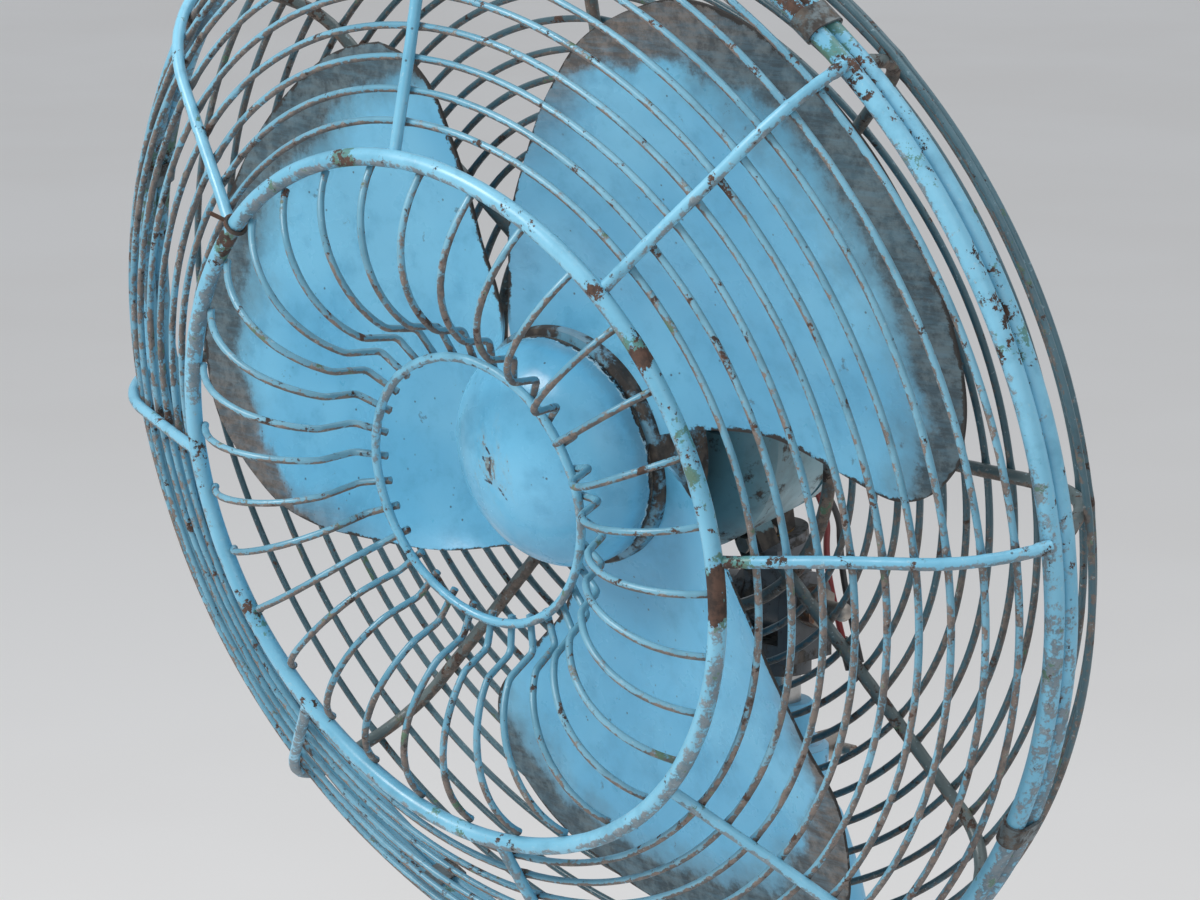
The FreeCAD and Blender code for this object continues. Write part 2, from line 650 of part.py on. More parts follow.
def gear_housing():
    """Casting behind the motor that holds the worm gear."""
    outer = box((-38, MOTOR_REAR, -26), (20, 226, 24))
    outer = outer.makeFillet(6.0, outer.Edges)
    spigot = rod(24.0, (0, MOTOR_REAR, 0), (0, MOTOR_REAR + 8, 0))
    inner = box((-34.5, MOTOR_REAR + 3.5, -22.5), (16.5, 222.5, 30))
    posts = [rod(3.0, (x, rear, -24), (x, rear, 21)) for x, rear in COVER_SCREWS]
    boss = rod(8.0, (WHEEL_OFFSET, WORM_REAR, -58), (WHEEL_OFFSET, WORM_REAR, -22))
    holes = [
        rod(SHAFT_RADIUS + 0.6, (0, MOTOR_REAR - 2, 0), (0, MOTOR_REAR + 10, 0)),
        rod(4.05, (WHEEL_OFFSET, WORM_REAR, -60), (WHEEL_OFFSET, WORM_REAR, -20)),
    ]
    holes += [rod(1.8, (x, rear, 10), (x, rear, 30)) for x, rear in COVER_SCREWS]
    shell = fused([outer, spigot, boss]).cut(inner)
    return drilled(fused([shell] + posts), holes)


def gear_cover():
    """Lid of the gear housing, with the guide for the clutch knob."""
    lid = box((-34.3, MOTOR_REAR + 3.7, 21), (16.3, 222.3, 27))
    lid = lid.makeFillet(2.0, [edge for edge in lid.Edges if edge.BoundBox.ZMin > 26])
    guide = rod(6.0, (WHEEL_OFFSET, WORM_REAR, 25), (WHEEL_OFFSET, WORM_REAR, 33))
    bore = rod(3.05, (WHEEL_OFFSET, WORM_REAR, 10), (WHEEL_OFFSET, WORM_REAR, 40))
    holes = [bore] + [rod(1.8, (x, rear, 10), (x, rear, 40)) for x, rear in COVER_SCREWS]
    return drilled(fused([lid, guide]), holes)


def round_head_screw(start, direction, length, shank, head):
    """Slotted round-headed screw. start is the seat under its head."""
    aim = Vector(*direction)
    seat = Vector(*start)
    shaft = Part.makeCylinder(shank, length, seat, aim * -1)
    dome = Part.makeCylinder(head, head * 0.55, seat, aim)
    dome = dome.makeFillet(head * 0.4, [dome.Edges[0]])
    return fused([shaft, dome])


def head_screws():
    """Screws of the gear cover and of the guard brackets."""
    screws = []
    for x, rear in COVER_SCREWS:
        screws.append(round_head_screw((x, rear, 27), (0, 0, 1), 6, 1.8, 3.4))
    bracket = round_head_screw((BRACKET_SCREW_CIRCLE, BRACKET_FRONT, 0), (0, -1, 0), 7, 2.0, 3.6)
    screws += pattern(bracket, 4, BRACKET_FIRST).Solids
    return Part.makeCompound(screws)


def clutch_knob():
    """Pull knob that engages the swing."""
    stem = rod(3.0, (WHEEL_OFFSET, WORM_REAR, 9.5), (WHEEL_OFFSET, WORM_REAR, 46))
    cap = rod(8.0, (WHEEL_OFFSET, WORM_REAR, 42), (WHEEL_OFFSET, WORM_REAR, 54))
    cap = cap.makeFillet(2.5, [cap.Edges[0], cap.Edges[2]])
    return fused([stem, cap])


def crank_spindle():
    """Upright spindle with the crank disc and its pin at the lower end."""
    spindle = rod(4.0, (WHEEL_OFFSET, WORM_REAR, -62), (WHEEL_OFFSET, WORM_REAR, 8))
    disc = rod(16.0, (WHEEL_OFFSET, WORM_REAR, -63.5), (WHEEL_OFFSET, WORM_REAR, -59))
    pin_x = WHEEL_OFFSET + CRANK_THROW
    pin = rod(3.0, (pin_x, WORM_REAR, LINK_TOP + 0.4), (pin_x, WORM_REAR, -60))
    return fused([spindle, disc, pin])


def worm_wheel():
    """Worm wheel on the crank spindle, with its teeth set to the worm's lead angle, and a heavy
    flange below the teeth."""
    centre = Vector(WHEEL_OFFSET, WORM_REAR, 0)
    body = rod(WHEEL_PITCH_RADIUS - 0.9, (WHEEL_OFFSET, WORM_REAR, -3), (WHEEL_OFFSET, WORM_REAR, 3))
    flange = rod(10.8, (WHEEL_OFFSET, WORM_REAR, -10), (WHEEL_OFFSET, WORM_REAR, -3))
    tooth = box((WHEEL_PITCH_RADIUS - 1.6, -0.42, -3), (WHEEL_PITCH_RADIUS + 0.6, 0.42, 3))
    lead_angle = math.degrees(math.atan(WORM_LEAD / (2 * math.pi * WORM_PITCH_RADIUS)))
    tooth.rotate(ORIGIN, X_AXIS, -lead_angle)
    teeth = []
    for k in range(WHEEL_TEETH):
        copy = about_z(tooth, 360.0 * k / WHEEL_TEETH)
        copy.translate(centre)
        teeth.append(copy)
    bore = rod(4.0, (WHEEL_OFFSET, WORM_REAR, -12), (WHEEL_OFFSET, WORM_REAR, 5))
    return fused([body, flange] + teeth).cut(bore)


# ---- rotor ---------------------------------------------------------------------------------
def worm_thread():
    """Helical ridge of the worm, with a gap towards the wheel's middle tooth."""
    turns = 6
    root = WORM_PITCH_RADIUS - 1.3
    crest = WORM_PITCH_RADIUS + 0.6
    helix = Part.makeHelix(WORM_LEAD, WORM_LEAD * turns, root)
    half_root, half_crest = 0.75, 0.4
    corners = [Vector(root, 0, -half_root), Vector(crest, 0, -half_crest),
               Vector(crest, 0, half_crest), Vector(root, 0, half_root)]
    profile = Part.makePolygon(corners + corners[:1])
    ridge = Part.Wire(helix).makePipeShell([profile], True, True)
    ridge.rotate(ORIGIN, X_AXIS, -90)
    ridge.translate(Vector(0, WORM_REAR - WORM_LEAD * turns / 2, 0))
    return ridge


def motor_shaft():
    """Motor shaft from the hub to the worm at its rear end."""
    shaft = rod(SHAFT_RADIUS, (0, 54, 0), (0, 190, 0))
    tail = rod(WORM_PITCH_RADIUS - 1.0, (0, 189, 0), (0, 217, 0))
    return fused([shaft, tail, worm_thread()])


def rotor_core():
    """Rotor of the motor."""
    return sleeve(28.1, SHAFT_RADIUS, (0, 119, 0), (0, 150, 0))


def blade_hub():
    """Cast drum that carries the blades, with a clamping boss on the shaft."""
    outline = [
        (SHAFT_RADIUS, 54), (12, 54), (12, 61), (SPINNER_RADIUS - 1.3, 61),
        (SPINNER_RADIUS - 1.3, 64.5), (HUB_RADIUS - 0.5, 65.5), (HUB_RADIUS, 67),
        (HUB_RADIUS, 91), (HUB_RADIUS - 3, 91), (HUB_RADIUS - 3, 66.5), (12, 66.5), (12, 82),
        (SHAFT_RADIUS, 82),
    ]
    return turned(outline, upright=False)


def spinner():
    """Domed nose cover over the hub."""
    inner = SPINNER_RADIUS - 1.2
    outline = [
        (0, SPINNER_NOSE), (4, SPINNER_NOSE), (31.5, 41.2, "mid"), (SPINNER_RADIUS, SPINNER_BASE),
        (SPINNER_RADIUS, SPINNER_BASE + 3), (inner, SPINNER_BASE + 3), (inner, SPINNER_BASE),
        (30.6, 42.1, "mid"), (4, SPINNER_NOSE + 1.2), (0, SPINNER_NOSE + 1.2),
    ]
    return turned(outline, upright=False)


def table(rows, value):
    """Straight-line interpolation in rows of (value, result)."""
    for (low, at_low), (high, at_high) in zip(rows, rows[1:]):
        if value <= high:
            share = (value - low) / (high - low)
            return at_low + share * (at_high - at_low)
    return rows[-1][1]


BLADE_ROOT = 44.0
LEADING_ANGLE = [(45, 13), (65, 9.5), (82, 7), (104, 1.9), (122, -1), (141, -2.5), (156, -0.5), (172, 5)]
TRAILING_ANGLE = [(45, 121), (65, 106), (85, 96), (110, 87), (144, 79.5), (167, 75), (182, 70)]
LEADING_REAR = [(45, 68), (53, 75), (65, 80), (85, 84), (150, 84.5), (175, 87)]
TRAILING_REAR = [(45, 67), (65, 65), (85, 59.5), (110, 56), (144, 55), (167, 59), (182, 62)]
TIP_RADIUS = [(0, 168), (0.1, 177), (0.25, 185), (0.4, 191.5), (0.55, 196.5), (0.7, 199.8),
              (0.82, 200), (0.92, 194), (1.0, 181)]
BLADE_CAMBER = 5.0


def blade_point(across, along):
    """Point of the blade's front face: across from leading to trailing edge, along from root
    to tip."""
    reach = BLADE_ROOT + (table(TIP_RADIUS, across) - BLADE_ROOT) * along
    leading = BLADE_ROOT + (TIP_RADIUS[0][1] - BLADE_ROOT) * along
    trailing = BLADE_ROOT + (TIP_RADIUS[-1][1] - BLADE_ROOT) * along
    first = table(LEADING_ANGLE, leading)
    last = table(TRAILING_ANGLE, trailing)
    angle = math.radians(first + (last - first) * across)
    rear_first = table(LEADING_REAR, leading)
    rear_last = table(TRAILING_REAR, trailing)
    rear = rear_first + (rear_last - rear_first) * across
    rear += BLADE_CAMBER * 4 * across * (1 - across) * min(1.0, 0.3 + along)
    return Vector(reach * math.cos(angle), rear, reach * math.sin(angle))


def blade():
    """Wide cambered sheet blade, thickened to the rear of its front face."""
    columns = 13
    rows = 11
    faces = []
    for depth in (0.0, BLADE_THICKNESS):
        grid = []
        for i in range(columns):
            column = []
            for j in range(rows):
                point = blade_point(i / (columns - 1), j / (rows - 1))
                column.append(point + Vector(0, depth, 0))
            grid.append(column)
        surface = Part.BSplineSurface()
        surface.interpolate(grid)
        faces.append(surface)
    front, back = faces
    rims = []
    for name in ("u_low", "u_high", "v_low", "v_high"):
        curves = []
        for surface in faces:
            u0, u1, v0, v1 = surface.bounds()
            if name == "u_low":
                curves.append(surface.uIso(u0))
            elif name == "u_high":
                curves.append(surface.uIso(u1))
            elif name == "v_low":
                curves.append(surface.vIso(v0))
            else:
                curves.append(surface.vIso(v1))
        rims.append(Part.makeRuledSurface(curves[0].toShape(), curves[1].toShape()))
    shell_faces = [front.toShape(), back.toShape()] + rims
    shell = Part.Shell(Part.makeCompound(shell_faces).Faces)
    shell.sewShape()
    solid = Part.Solid(Part.Shell(shell.Faces))
    if solid.Volume < 0:
        solid.reverse()
    return solid


# ---- guards --------------------------------------------------------------------------------
FRONT_SLOPE = 22.5
FRONT_STRAIGHT = 67.3
FRONT_BEND = 60.0
FRONT_TURN = 43.2
FRONT_START = (MID_RING_RADIUS, 5.3)
FRONT_LENGTH = FRONT_STRAIGHT + FRONT_BEND * math.radians(FRONT_TURN)
SPOKE_STANDOFF = SPOKE_RADIUS + WIRE_RADIUS - WELD_SINK
REAR_SLOPE = -3.0
REAR_STRAIGHT = 111.0
REAR_BEND = 33.0
REAR_TURN = -64.0
REAR_START = (79.0, 111.85)
REAR_STANDOFF = REAR_SPOKE_RADIUS + WIRE_RADIUS - WELD_SINK


def along_profile(start, slope, straight, bend, turn, distance):
    """Point and heading on a line that runs into a bend. Angles are degrees to the rear."""
    angle = math.radians(slope)
    run = min(distance, straight)
    out = start[0] + run * math.cos(angle)
    rear = start[1] + run * math.sin(angle)
    if distance <= straight:
        return out, rear, angle
    side = 1 if turn > 0 else -1
    swung = angle + side * (distance - straight) / bend
    out += side * bend * (math.sin(swung) - math.sin(angle))
    rear -= side * bend * (math.cos(swung) - math.cos(angle))
    return out, rear, swung


def front_guard_rings():
    """Nine wire rings of the front guard, evenly spaced along its dished profile."""
    rings = []
    pitch = FRONT_LENGTH / (FRONT_RINGS + 1)
    for k in range(1, FRONT_RINGS + 1):
        out, rear, _ = along_profile(FRONT_START, FRONT_SLOPE, FRONT_STRAIGHT, FRONT_BEND,
                                     FRONT_TURN, pitch * k)
        rings.append(ring(out, rear, WIRE_RADIUS))
    return Part.makeCompound(rings)


def front_guard_spokes():
    """Eight rods from the middle ring to the rim, on the outside of the rings."""
    slope = math.radians(FRONT_SLOPE)
    start = (FRONT_START[0] + SPOKE_STANDOFF * math.sin(slope),
             FRONT_START[1] - SPOKE_STANDOFF * math.cos(slope))
    moves = [(FRONT_STRAIGHT, 0), (FRONT_BEND + SPOKE_STANDOFF, FRONT_TURN)]
    return pattern(bent_wire(start, FRONT_SLOPE, moves, SPOKE_RADIUS), SPOKES)


def rear_guard_rings():
    """Wire rings on the outside of the rear guard's spokes."""
    rings = []
    for k in range(REAR_RINGS):
        distance = 15.0 + REAR_RING_PITCH * k
        out, rear, angle = along_profile(REAR_START, REAR_SLOPE, REAR_STRAIGHT, REAR_BEND,
                                         REAR_TURN, distance)
        out -= REAR_STANDOFF * math.sin(angle)
        rear += REAR_STANDOFF * math.cos(angle)
        rings.append(ring(out, rear, WIRE_RADIUS))
    return Part.makeCompound(rings)


def rear_guard_spokes():
    """Eight rods of the rear guard, from the mounting hoop to the rim."""
    moves = [(REAR_STRAIGHT, 0), (REAR_BEND, REAR_TURN), (14.5, 0)]
    return pattern(bent_wire(REAR_START, REAR_SLOPE, moves, REAR_SPOKE_RADIUS), SPOKES)


def medallion_wires():
    """Curved wires between the middle ring and the small ring in front of the hub."""
    moves = [(40.7, 92.0), (8.0, 26.0), (10.0, 0), (4.5, -54.0), (11.5, 0)]
    wire = mirrored_wire((126.5, 2.0), -46.0, moves)
    return pattern(wire, MEDALLION_WIRES, 180.0 / MEDALLION_WIRES)


def mirrored_wire(start, heading, moves):
    """Bent wire that runs inwards: drawn outwards from the mirrored start, then mirrored."""
    wire = bent_wire((-start[0], start[1]), heading, moves, WIRE_RADIUS)
    return wire.mirror(ORIGIN, X_AXIS)


def guard_brackets():
    """Four flat strips from the motor's lugs to the rear guard's mounting hoop."""
    strip = box((60, BRACKET_FRONT, -6), (MOUNT_HOOP_RADIUS + 2, FLANGE_FRONT, 6))
    screw = BRACKET_SCREW_CIRCLE
    strip = strip.cut(rod(2.0, (screw, 110, 0), (screw, 130, 0)))
    return pattern(strip, 4, BRACKET_FIRST)


def oval(radius, half_length, middle, width):
    """Solid bar round both rim hoops, with the hoops' centres at half_length from its middle."""
    low = Vector(HOOP_RADIUS - radius, middle - half_length, -width / 2)
    front = Vector(HOOP_RADIUS, middle - half_length - radius, -width / 2)
    high = Vector(HOOP_RADIUS + radius, middle - half_length, -width / 2)
    rear = Vector(HOOP_RADIUS, middle + half_length + radius, -width / 2)
    shift = Vector(0, 2 * half_length, 0)
    edges = [arc(low, front, high), line(high, high + shift),
             arc(high + shift, rear, low + shift), line(low + shift, low)]
    return Part.Face(Part.Wire(edges)).extrude(Vector(0, 0, width))


CLIP_ANGLES = (50, -30, 186, 158, -118, 106)


def guard_clips():
    """Bands that clasp the two rim hoops together."""
    middle = (FRONT_HOOP_REAR + REAR_HOOP_REAR) / 2
    half_length = (REAR_HOOP_REAR - FRONT_HOOP_REAR) / 2
    band = oval(HOOP_ROD + 1.2, half_length, middle, 9).cut(oval(HOOP_ROD, half_length, middle, 12))
    return Part.makeCompound([around(band, angle) for angle in CLIP_ANGLES])


def wire_tie():
    """Twisted tie round the middle ring and one spoke."""
    tie = Part.makeTorus(MID_RING_ROD + 0.75, 0.8, Vector(MID_RING_RADIUS, 0, 0), Z_AXIS)
    tail = rod(0.8, (MID_RING_RADIUS + 3, -2.6, 0), (MID_RING_RADIUS + 8, -6.5, 0))
    return around(fused([tie, tail]), 132.4)


# ---- motor leads ---------------------------------------------------------------------------
LEAD_RADIUS = 1.3
RED_ROUTE = [(13, 8.5, 53), (11, 21, 31), (0, 28, 8), (0, 29.5, -14), (4, 29, -34)]
BLACK_ROUTE = [(16.2, 8.5, 53), (15.5, 22.5, 32), (5, 31, 9), (6, 31, -14), (11, 29, -36)]


def lead(route):
    """One free motor lead, hanging from the grommet."""
    return routed_wire([at_pivot(*point) for point in route], LEAD_RADIUS)


def lead_sleeve():
    """Insulating sleeve pushed over the end of the red lead."""
    before, end = [Vector(*at_pivot(*point)) for point in RED_ROUTE[-2:]]
    ahead = (end - before).normalize()
    start = end - ahead * 7
    sleeve_end = end + ahead * 6
    shell = Part.makeCylinder(2.1, 13, start, ahead)
    return shell.cut(Part.makeCylinder(LEAD_RADIUS, 7, start, ahead))


def lead_grommet():
    """Rubber grommet where the leads leave the rear shell."""
    body = rod(GROMMET_RADIUS, GROMMET_TOP, GROMMET_BOTTOM)
    return drilled(body, [lead(RED_ROUTE), lead(BLACK_ROUTE)])


# ---- export --------------------------------------------------------------------------------
WORLD_NODES = {
    "base_plate": base_plate,
    "rubber_feet": rubber_feet,
    "pole_socket": pole_socket,
    "socket_bolts": socket_bolts,
    "outer_pole": outer_pole,
    "pole_collar": pole_collar,
    "height_screw": height_screw,
    "control_housing": control_housing,
    "control_base": control_base,
    "speed_regulator": speed_regulator,
    "dial_plate": dial_plate,
    "control_knob": control_knob,
    "cable_gland": cable_gland,
    "inner_pole": inner_pole,
    "mast_guide": mast_guide,
    "tilt_fork": tilt_fork,
    "tilt_bolt": tilt_bolt,
    "tilt_wing_nut": tilt_wing_nut,
}

HEAD_NODES = {
    "tilt_block": tilt_block,
    "swivel_stud": swivel_stud,
    "thrust_washer": thrust_washer,
    "link_arm": link_arm,
    "motor_front_shell": motor_front_shell,
    "motor_rear_shell": motor_rear_shell,
    "motor_bolts": motor_bolts,
    "stator_core": stator_core,
    "stator_windings": stator_windings,
    "front_bearing": lambda: bush(98, 110),
    "rear_bearing": lambda: bush(160, 174),
    "gear_housing": gear_housing,
    "gear_cover": gear_cover,
    "head_screws": head_screws,
    "clutch_knob": clutch_knob,
    "crank_spindle": crank_spindle,
    "worm_wheel": worm_wheel,
    "motor_shaft": motor_shaft,
    "rotor_core": rotor_core,
    "blade_hub": blade_hub,
    "blade_1": blade,
    "blade_2": lambda: around(blade(), 120),
    "blade_3": lambda: around(blade(), 240),
    "spinner": spinner,
    "front_guard_hoop": lambda: ring(HOOP_RADIUS, FRONT_HOOP_REAR, HOOP_ROD),
    "rear_guard_hoop": lambda: ring(HOOP_RADIUS, REAR_HOOP_REAR, HOOP_ROD),
    "front_guard_rings": front_guard_rings,
    "front_guard_spokes": front_guard_spokes,
    "mid_ring": lambda: ring(MID_RING_RADIUS, 0, MID_RING_ROD),
    "medallion_wires": medallion_wires,
    "medallion_ring": lambda: ring(INNER_RING_RADIUS, INNER_RING_REAR, INNER_RING_ROD),
    "rear_guard_rings": rear_guard_rings,
    "rear_guard_spokes": rear_guard_spokes,
    "mount_hoop": lambda: ring(MOUNT_HOOP_RADIUS, MOUNT_HOOP_REAR, MOUNT_HOOP_ROD),
    "guard_brackets": guard_brackets,
    "guard_clips": guard_clips,
    "wire_tie": wire_tie,
    "lead_grommet": lead_grommet,
    "motor_lead_red": lambda: lead(RED_ROUTE),
    "motor_lead_black": lambda: lead(BLACK_ROUTE),
    "lead_sleeve": lead_sleeve,
}

os.makedirs("parts", exist_ok=True)
for node, make in WORLD_NODES.items():
    shape = make()
    shape.exportStep(f"parts/{node}.step")
    print(node, len(shape.Solids), shape.isValid(), round(shape.Volume))
for node, make in HEAD_NODES.items():
    shape = in_world(make())
    shape.exportStep(f"parts/{node}.step")
    print(node, len(shape.Solids), shape.isValid(), round(shape.Volume))
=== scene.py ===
import bpy
import math
import numpy as np
from mathutils import Matrix, Vector

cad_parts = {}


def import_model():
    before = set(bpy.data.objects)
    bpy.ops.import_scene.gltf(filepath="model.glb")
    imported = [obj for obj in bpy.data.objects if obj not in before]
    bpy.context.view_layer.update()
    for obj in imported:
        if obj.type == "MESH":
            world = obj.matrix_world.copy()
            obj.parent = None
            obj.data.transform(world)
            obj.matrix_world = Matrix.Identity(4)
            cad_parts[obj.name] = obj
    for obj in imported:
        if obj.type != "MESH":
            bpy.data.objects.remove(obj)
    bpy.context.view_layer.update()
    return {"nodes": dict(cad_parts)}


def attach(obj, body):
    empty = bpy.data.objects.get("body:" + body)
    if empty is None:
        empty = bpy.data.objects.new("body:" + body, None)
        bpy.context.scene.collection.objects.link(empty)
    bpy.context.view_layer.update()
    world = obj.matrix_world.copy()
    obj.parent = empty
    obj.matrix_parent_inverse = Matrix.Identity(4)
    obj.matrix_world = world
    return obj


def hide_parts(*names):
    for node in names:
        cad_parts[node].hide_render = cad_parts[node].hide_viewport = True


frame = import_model()
nodes = frame["nodes"]

# Head frame: millimetres right, rear and up from the middle ring's centre, tipped nose down.
TILT = math.radians(10.8)
PIVOT_HEIGHT, PIVOT_REAR, PIVOT_DROP = 900.0, 168.0, 99.0
PIVOT = Vector((0, 0, PIVOT_HEIGHT / 1000.0))


def world(points):
    """Head-frame millimetres (right, rear, up) to row-frame metres."""
    p = np.atleast_2d(np.asarray(points, float))
    rear, up = p[:, 1] - PIVOT_REAR, p[:, 2] + PIVOT_DROP
    c, s = math.cos(TILT), math.sin(TILT)
    return np.stack([p[:, 0], rear * c - up * s, PIVOT_HEIGHT + rear * s + up * c], 1) / 1000.0


# ---- camera and cords ----------------------------------------------------------------------
def make_camera():
    data = bpy.data.cameras.new("camera")
    data.lens = 139.156
    data.sensor_width = 36.0
    data.clip_end = 100
    camera = bpy.data.objects.new("camera", data)
    camera.location = (1.14993, -1.31802, 1.32064)
    camera.rotation_euler = (math.radians(78.307), 0, math.radians(43.404))
    bpy.context.scene.collection.objects.link(camera)
    bpy.context.scene.camera = camera


make_camera()

# The free motor leads' routes: metres right of, behind and above the tilt pivot, in the head's frame.
LEAD_DIAMETER = 0.0026
RED_ROUTE = [(0.013, 0.0085, 0.053), (0.011, 0.021, 0.031), (0.0, 0.028, 0.008),
             (0.0, 0.0295, -0.014), (0.004, 0.029, -0.034)]
BLACK_ROUTE = [(0.0162, 0.0085, 0.053), (0.0155, 0.0225, 0.032), (0.005, 0.031, 0.009),
               (0.006, 0.031, -0.014), (0.011, 0.029, -0.036)]


def make_lead(name, route, node):
    """One free lead as a smooth curve through its route. Its thickness is in the points' radius,
    because a curve's bounding box takes that radius whatever the bevel depth is."""
    data = bpy.data.curves.new(name, "CURVE")
    data.dimensions = "3D"
    data.bevel_depth = 1.0
    data.bevel_resolution = 4
    data.use_fill_caps = True
    spline = data.splines.new("NURBS")
    spline.points.add(len(route) - 1)
    corners = [PIVOT + Matrix.Rotation(TILT, 3, "X") @ Vector(point) for point in route]
    for point, corner in zip(spline.points, corners):
        point.co = (*corner, 1.0)
        point.radius = LEAD_DIAMETER / 2
    spline.order_u = 3
    spline.use_endpoint_u = True
    spline.resolution_u = 16
    lead = bpy.data.objects.new(name, data)
    bpy.context.scene.collection.objects.link(lead)
    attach(lead, "head")
    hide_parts(node)
    return lead


red_curve = make_lead("red_lead", RED_ROUTE, "motor_lead_red")
black_curve = make_lead("black_lead", BLACK_ROUTE, "motor_lead_black")


# ---- node helpers --------------------------------------------------------------------------
class Graph:
    """Small helper that builds one material's node tree."""

    def __init__(self, name):
        self.mat = bpy.data.materials.new(name)
        self.mat.use_nodes = True
        self.tree = self.mat.node_tree
        self.tree.nodes.clear()
        self.out = self.tree.nodes.new("ShaderNodeOutputMaterial")
        self.bsdf = self.tree.nodes.new("ShaderNodeBsdfPrincipled")
        self.tree.links.new(self.bsdf.outputs[0], self.out.inputs[0])
        self.coords = self.tree.nodes.new("ShaderNodeTexCoord").outputs["Object"]

    def set(self, socket, value):
        """Links an output, or writes a constant, to an input socket."""
        if hasattr(value, "is_output"):
            self.tree.links.new(value, socket)
        else:
            if isinstance(value, (tuple, list)) and len(value) == 3 and len(socket.default_value) == 4:
                value = (*value, 1.0)
            socket.default_value = value

    def noise(self, scale, detail=4.0, rough=0.55, coords=None):
        n = self.tree.nodes.new("ShaderNodeTexNoise")
        self.set(n.inputs["Vector"], coords or self.coords)
        n.inputs["Scale"].default_value = scale
        n.inputs["Detail"].default_value = detail
        n.inputs["Roughness"].default_value = rough
        return n.outputs["Fac"]

    def centred(self, *noise, **settings):
        """Noise about zero."""
        return self.math("SUBTRACT", self.noise(*noise, **settings), 0.5)

    def voronoi(self, scale):
        n = self.tree.nodes.new("ShaderNodeTexVoronoi")
        self.set(n.inputs["Vector"], self.coords)
        n.inputs["Scale"].default_value = scale
        return n.outputs["Distance"]

    def math(self, op, a, b=0.0, clamp=False):
        n = self.tree.nodes.new("ShaderNodeMath")
        n.operation = op
        n.use_clamp = clamp
        self.set(n.inputs[0], a)
        self.set(n.inputs[1], b)
        return n.outputs[0]

    def add(self, *terms):
        """Sum of several values, added from the first on."""
        total = terms[0]
        for term in terms[1:]:
            total = self.math("ADD", total, term)
        return total

    def times(self, a, b):
        return self.math("MULTIPLY", a, b)

    def ramp(self, value, low, high, out_low=0.0, out_high=1.0):
        """Smooth step from out_low at low to out_high at high."""
        n = self.tree.nodes.new("ShaderNodeMapRange")
        n.interpolation_type = "SMOOTHSTEP"
        self.set(n.inputs["Value"], value)
        self.set(n.inputs["From Min"], low)
        self.set(n.inputs["From Max"], high)
        self.set(n.inputs["To Min"], out_low)
        self.set(n.inputs["To Max"], out_high)
        return n.outputs[0]

    def mix(self, fac, a, b):
        n = self.tree.nodes.new("ShaderNodeMix")
        n.data_type = "RGBA"
        self.set(n.inputs[0], fac)
        self.set(n.inputs[6], a)
        self.set(n.inputs[7], b)
        return n.outputs[2]

    def attribute(self, name):
        n = self.tree.nodes.new("ShaderNodeAttribute")
        n.attribute_name = name
        return n.outputs["Fac"]

    def bump(self, height, strength, distance):
        n = self.tree.nodes.new("ShaderNodeBump")
        self.set(n.inputs["Height"], height)
        n.inputs["Strength"].default_value = strength
        n.inputs["Distance"].default_value = distance
        return n.outputs[0]

    def stretched(self, scale):
        """Object coordinates scaled apart along each axis."""
        n = self.tree.nodes.new("ShaderNodeMapping")
        self.set(n.inputs["Vector"], self.coords)
        self.set(n.inputs["Scale"], scale)
        return n.outputs[0]

    def upward(self):
        """How far the surface faces up, from -1 to 1."""
        geometry = self.tree.nodes.new("ShaderNodeNewGeometry")
        n = self.tree.nodes.new("ShaderNodeSeparateXYZ")
        self.tree.links.new(geometry.outputs["Normal"], n.inputs[0])
        return n.outputs["Z"]

    def height_over_pivot(self):
        """Metres above the tilt pivot, along the head's own upright."""
        n = self.tree.nodes.new("ShaderNodeVectorMath")
        n.operation = "DOT_PRODUCT"
        self.tree.links.new(self.coords, n.inputs[0])
        n.inputs[1].default_value = (0.0, -math.sin(TILT), math.cos(TILT))
        return self.math("SUBTRACT", n.outputs["Value"], PIVOT.z * math.cos(TILT))

    def edges(self, radius, low, high):
        """1 on the sharp outer edges of a solid, 0 on its flat faces."""
        geometry = self.tree.nodes.new("ShaderNodeNewGeometry")
        bevel = self.tree.nodes.new("ShaderNodeBevel")
        bevel.samples = 4
        bevel.inputs["Radius"].default_value = radius
        dot = self.tree.nodes.new("ShaderNodeVectorMath")
        dot.operation = "DOT_PRODUCT"
        self.tree.links.new(bevel.outputs[0], dot.inputs[0])
        self.tree.links.new(geometry.outputs["Normal"], dot.inputs[1])
        return self.ramp(dot.outputs["Value"], high, low)


# Linear colours of the enamel, the rust and the dirt.
BLUE = (0.105, 0.385, 0.600)
BLUE_LIGHT = (0.170, 0.480, 0.685)
BLUE_DEEP = (0.060, 0.265, 0.430)
CHALK = (0.34, 0.50, 0.57)
UNDERCOAT = (0.055, 0.150, 0.085)
RUST = (0.088, 0.047, 0.033)
RUST_DARK = (0.030, 0.019, 0.015)
RUST_ORANGE = (0.20, 0.085, 0.035)
FILM_DARK, FILM_LIGHT = (0.085, 0.066, 0.055), (0.185, 0.130, 0.100)
GRIME = (0.130, 0.105, 0.088)
GRIME_DARK = (0.030, 0.027, 0.025)
GRIME_BROWN = (0.085, 0.070, 0.058)
DUST = (0.330, 0.300, 0.260)


def paint_colour(g, light=BLUE_LIGHT, mid=BLUE, deep=BLUE_DEEP):
    """Brushed old enamel: broad clouds, fine mottling and pin-holes."""
    clouds = g.noise(9.0, 3, 0.6)
    mottle = g.noise(70.0, 5, 0.65)
    colour = g.mix(g.ramp(clouds, 0.38, 0.66), mid, light)
    colour = g.mix(g.times(g.ramp(mottle, 0.46, 0.74), 0.50), colour, deep)
    pits = g.ramp(g.voronoi(160.0), 0.10, 0.05)
    some = g.ramp(g.noise(22.0, 3), 0.45, 0.57)
    return g.mix(g.times(g.times(pits, some), 0.75), colour, RUST_DARK)


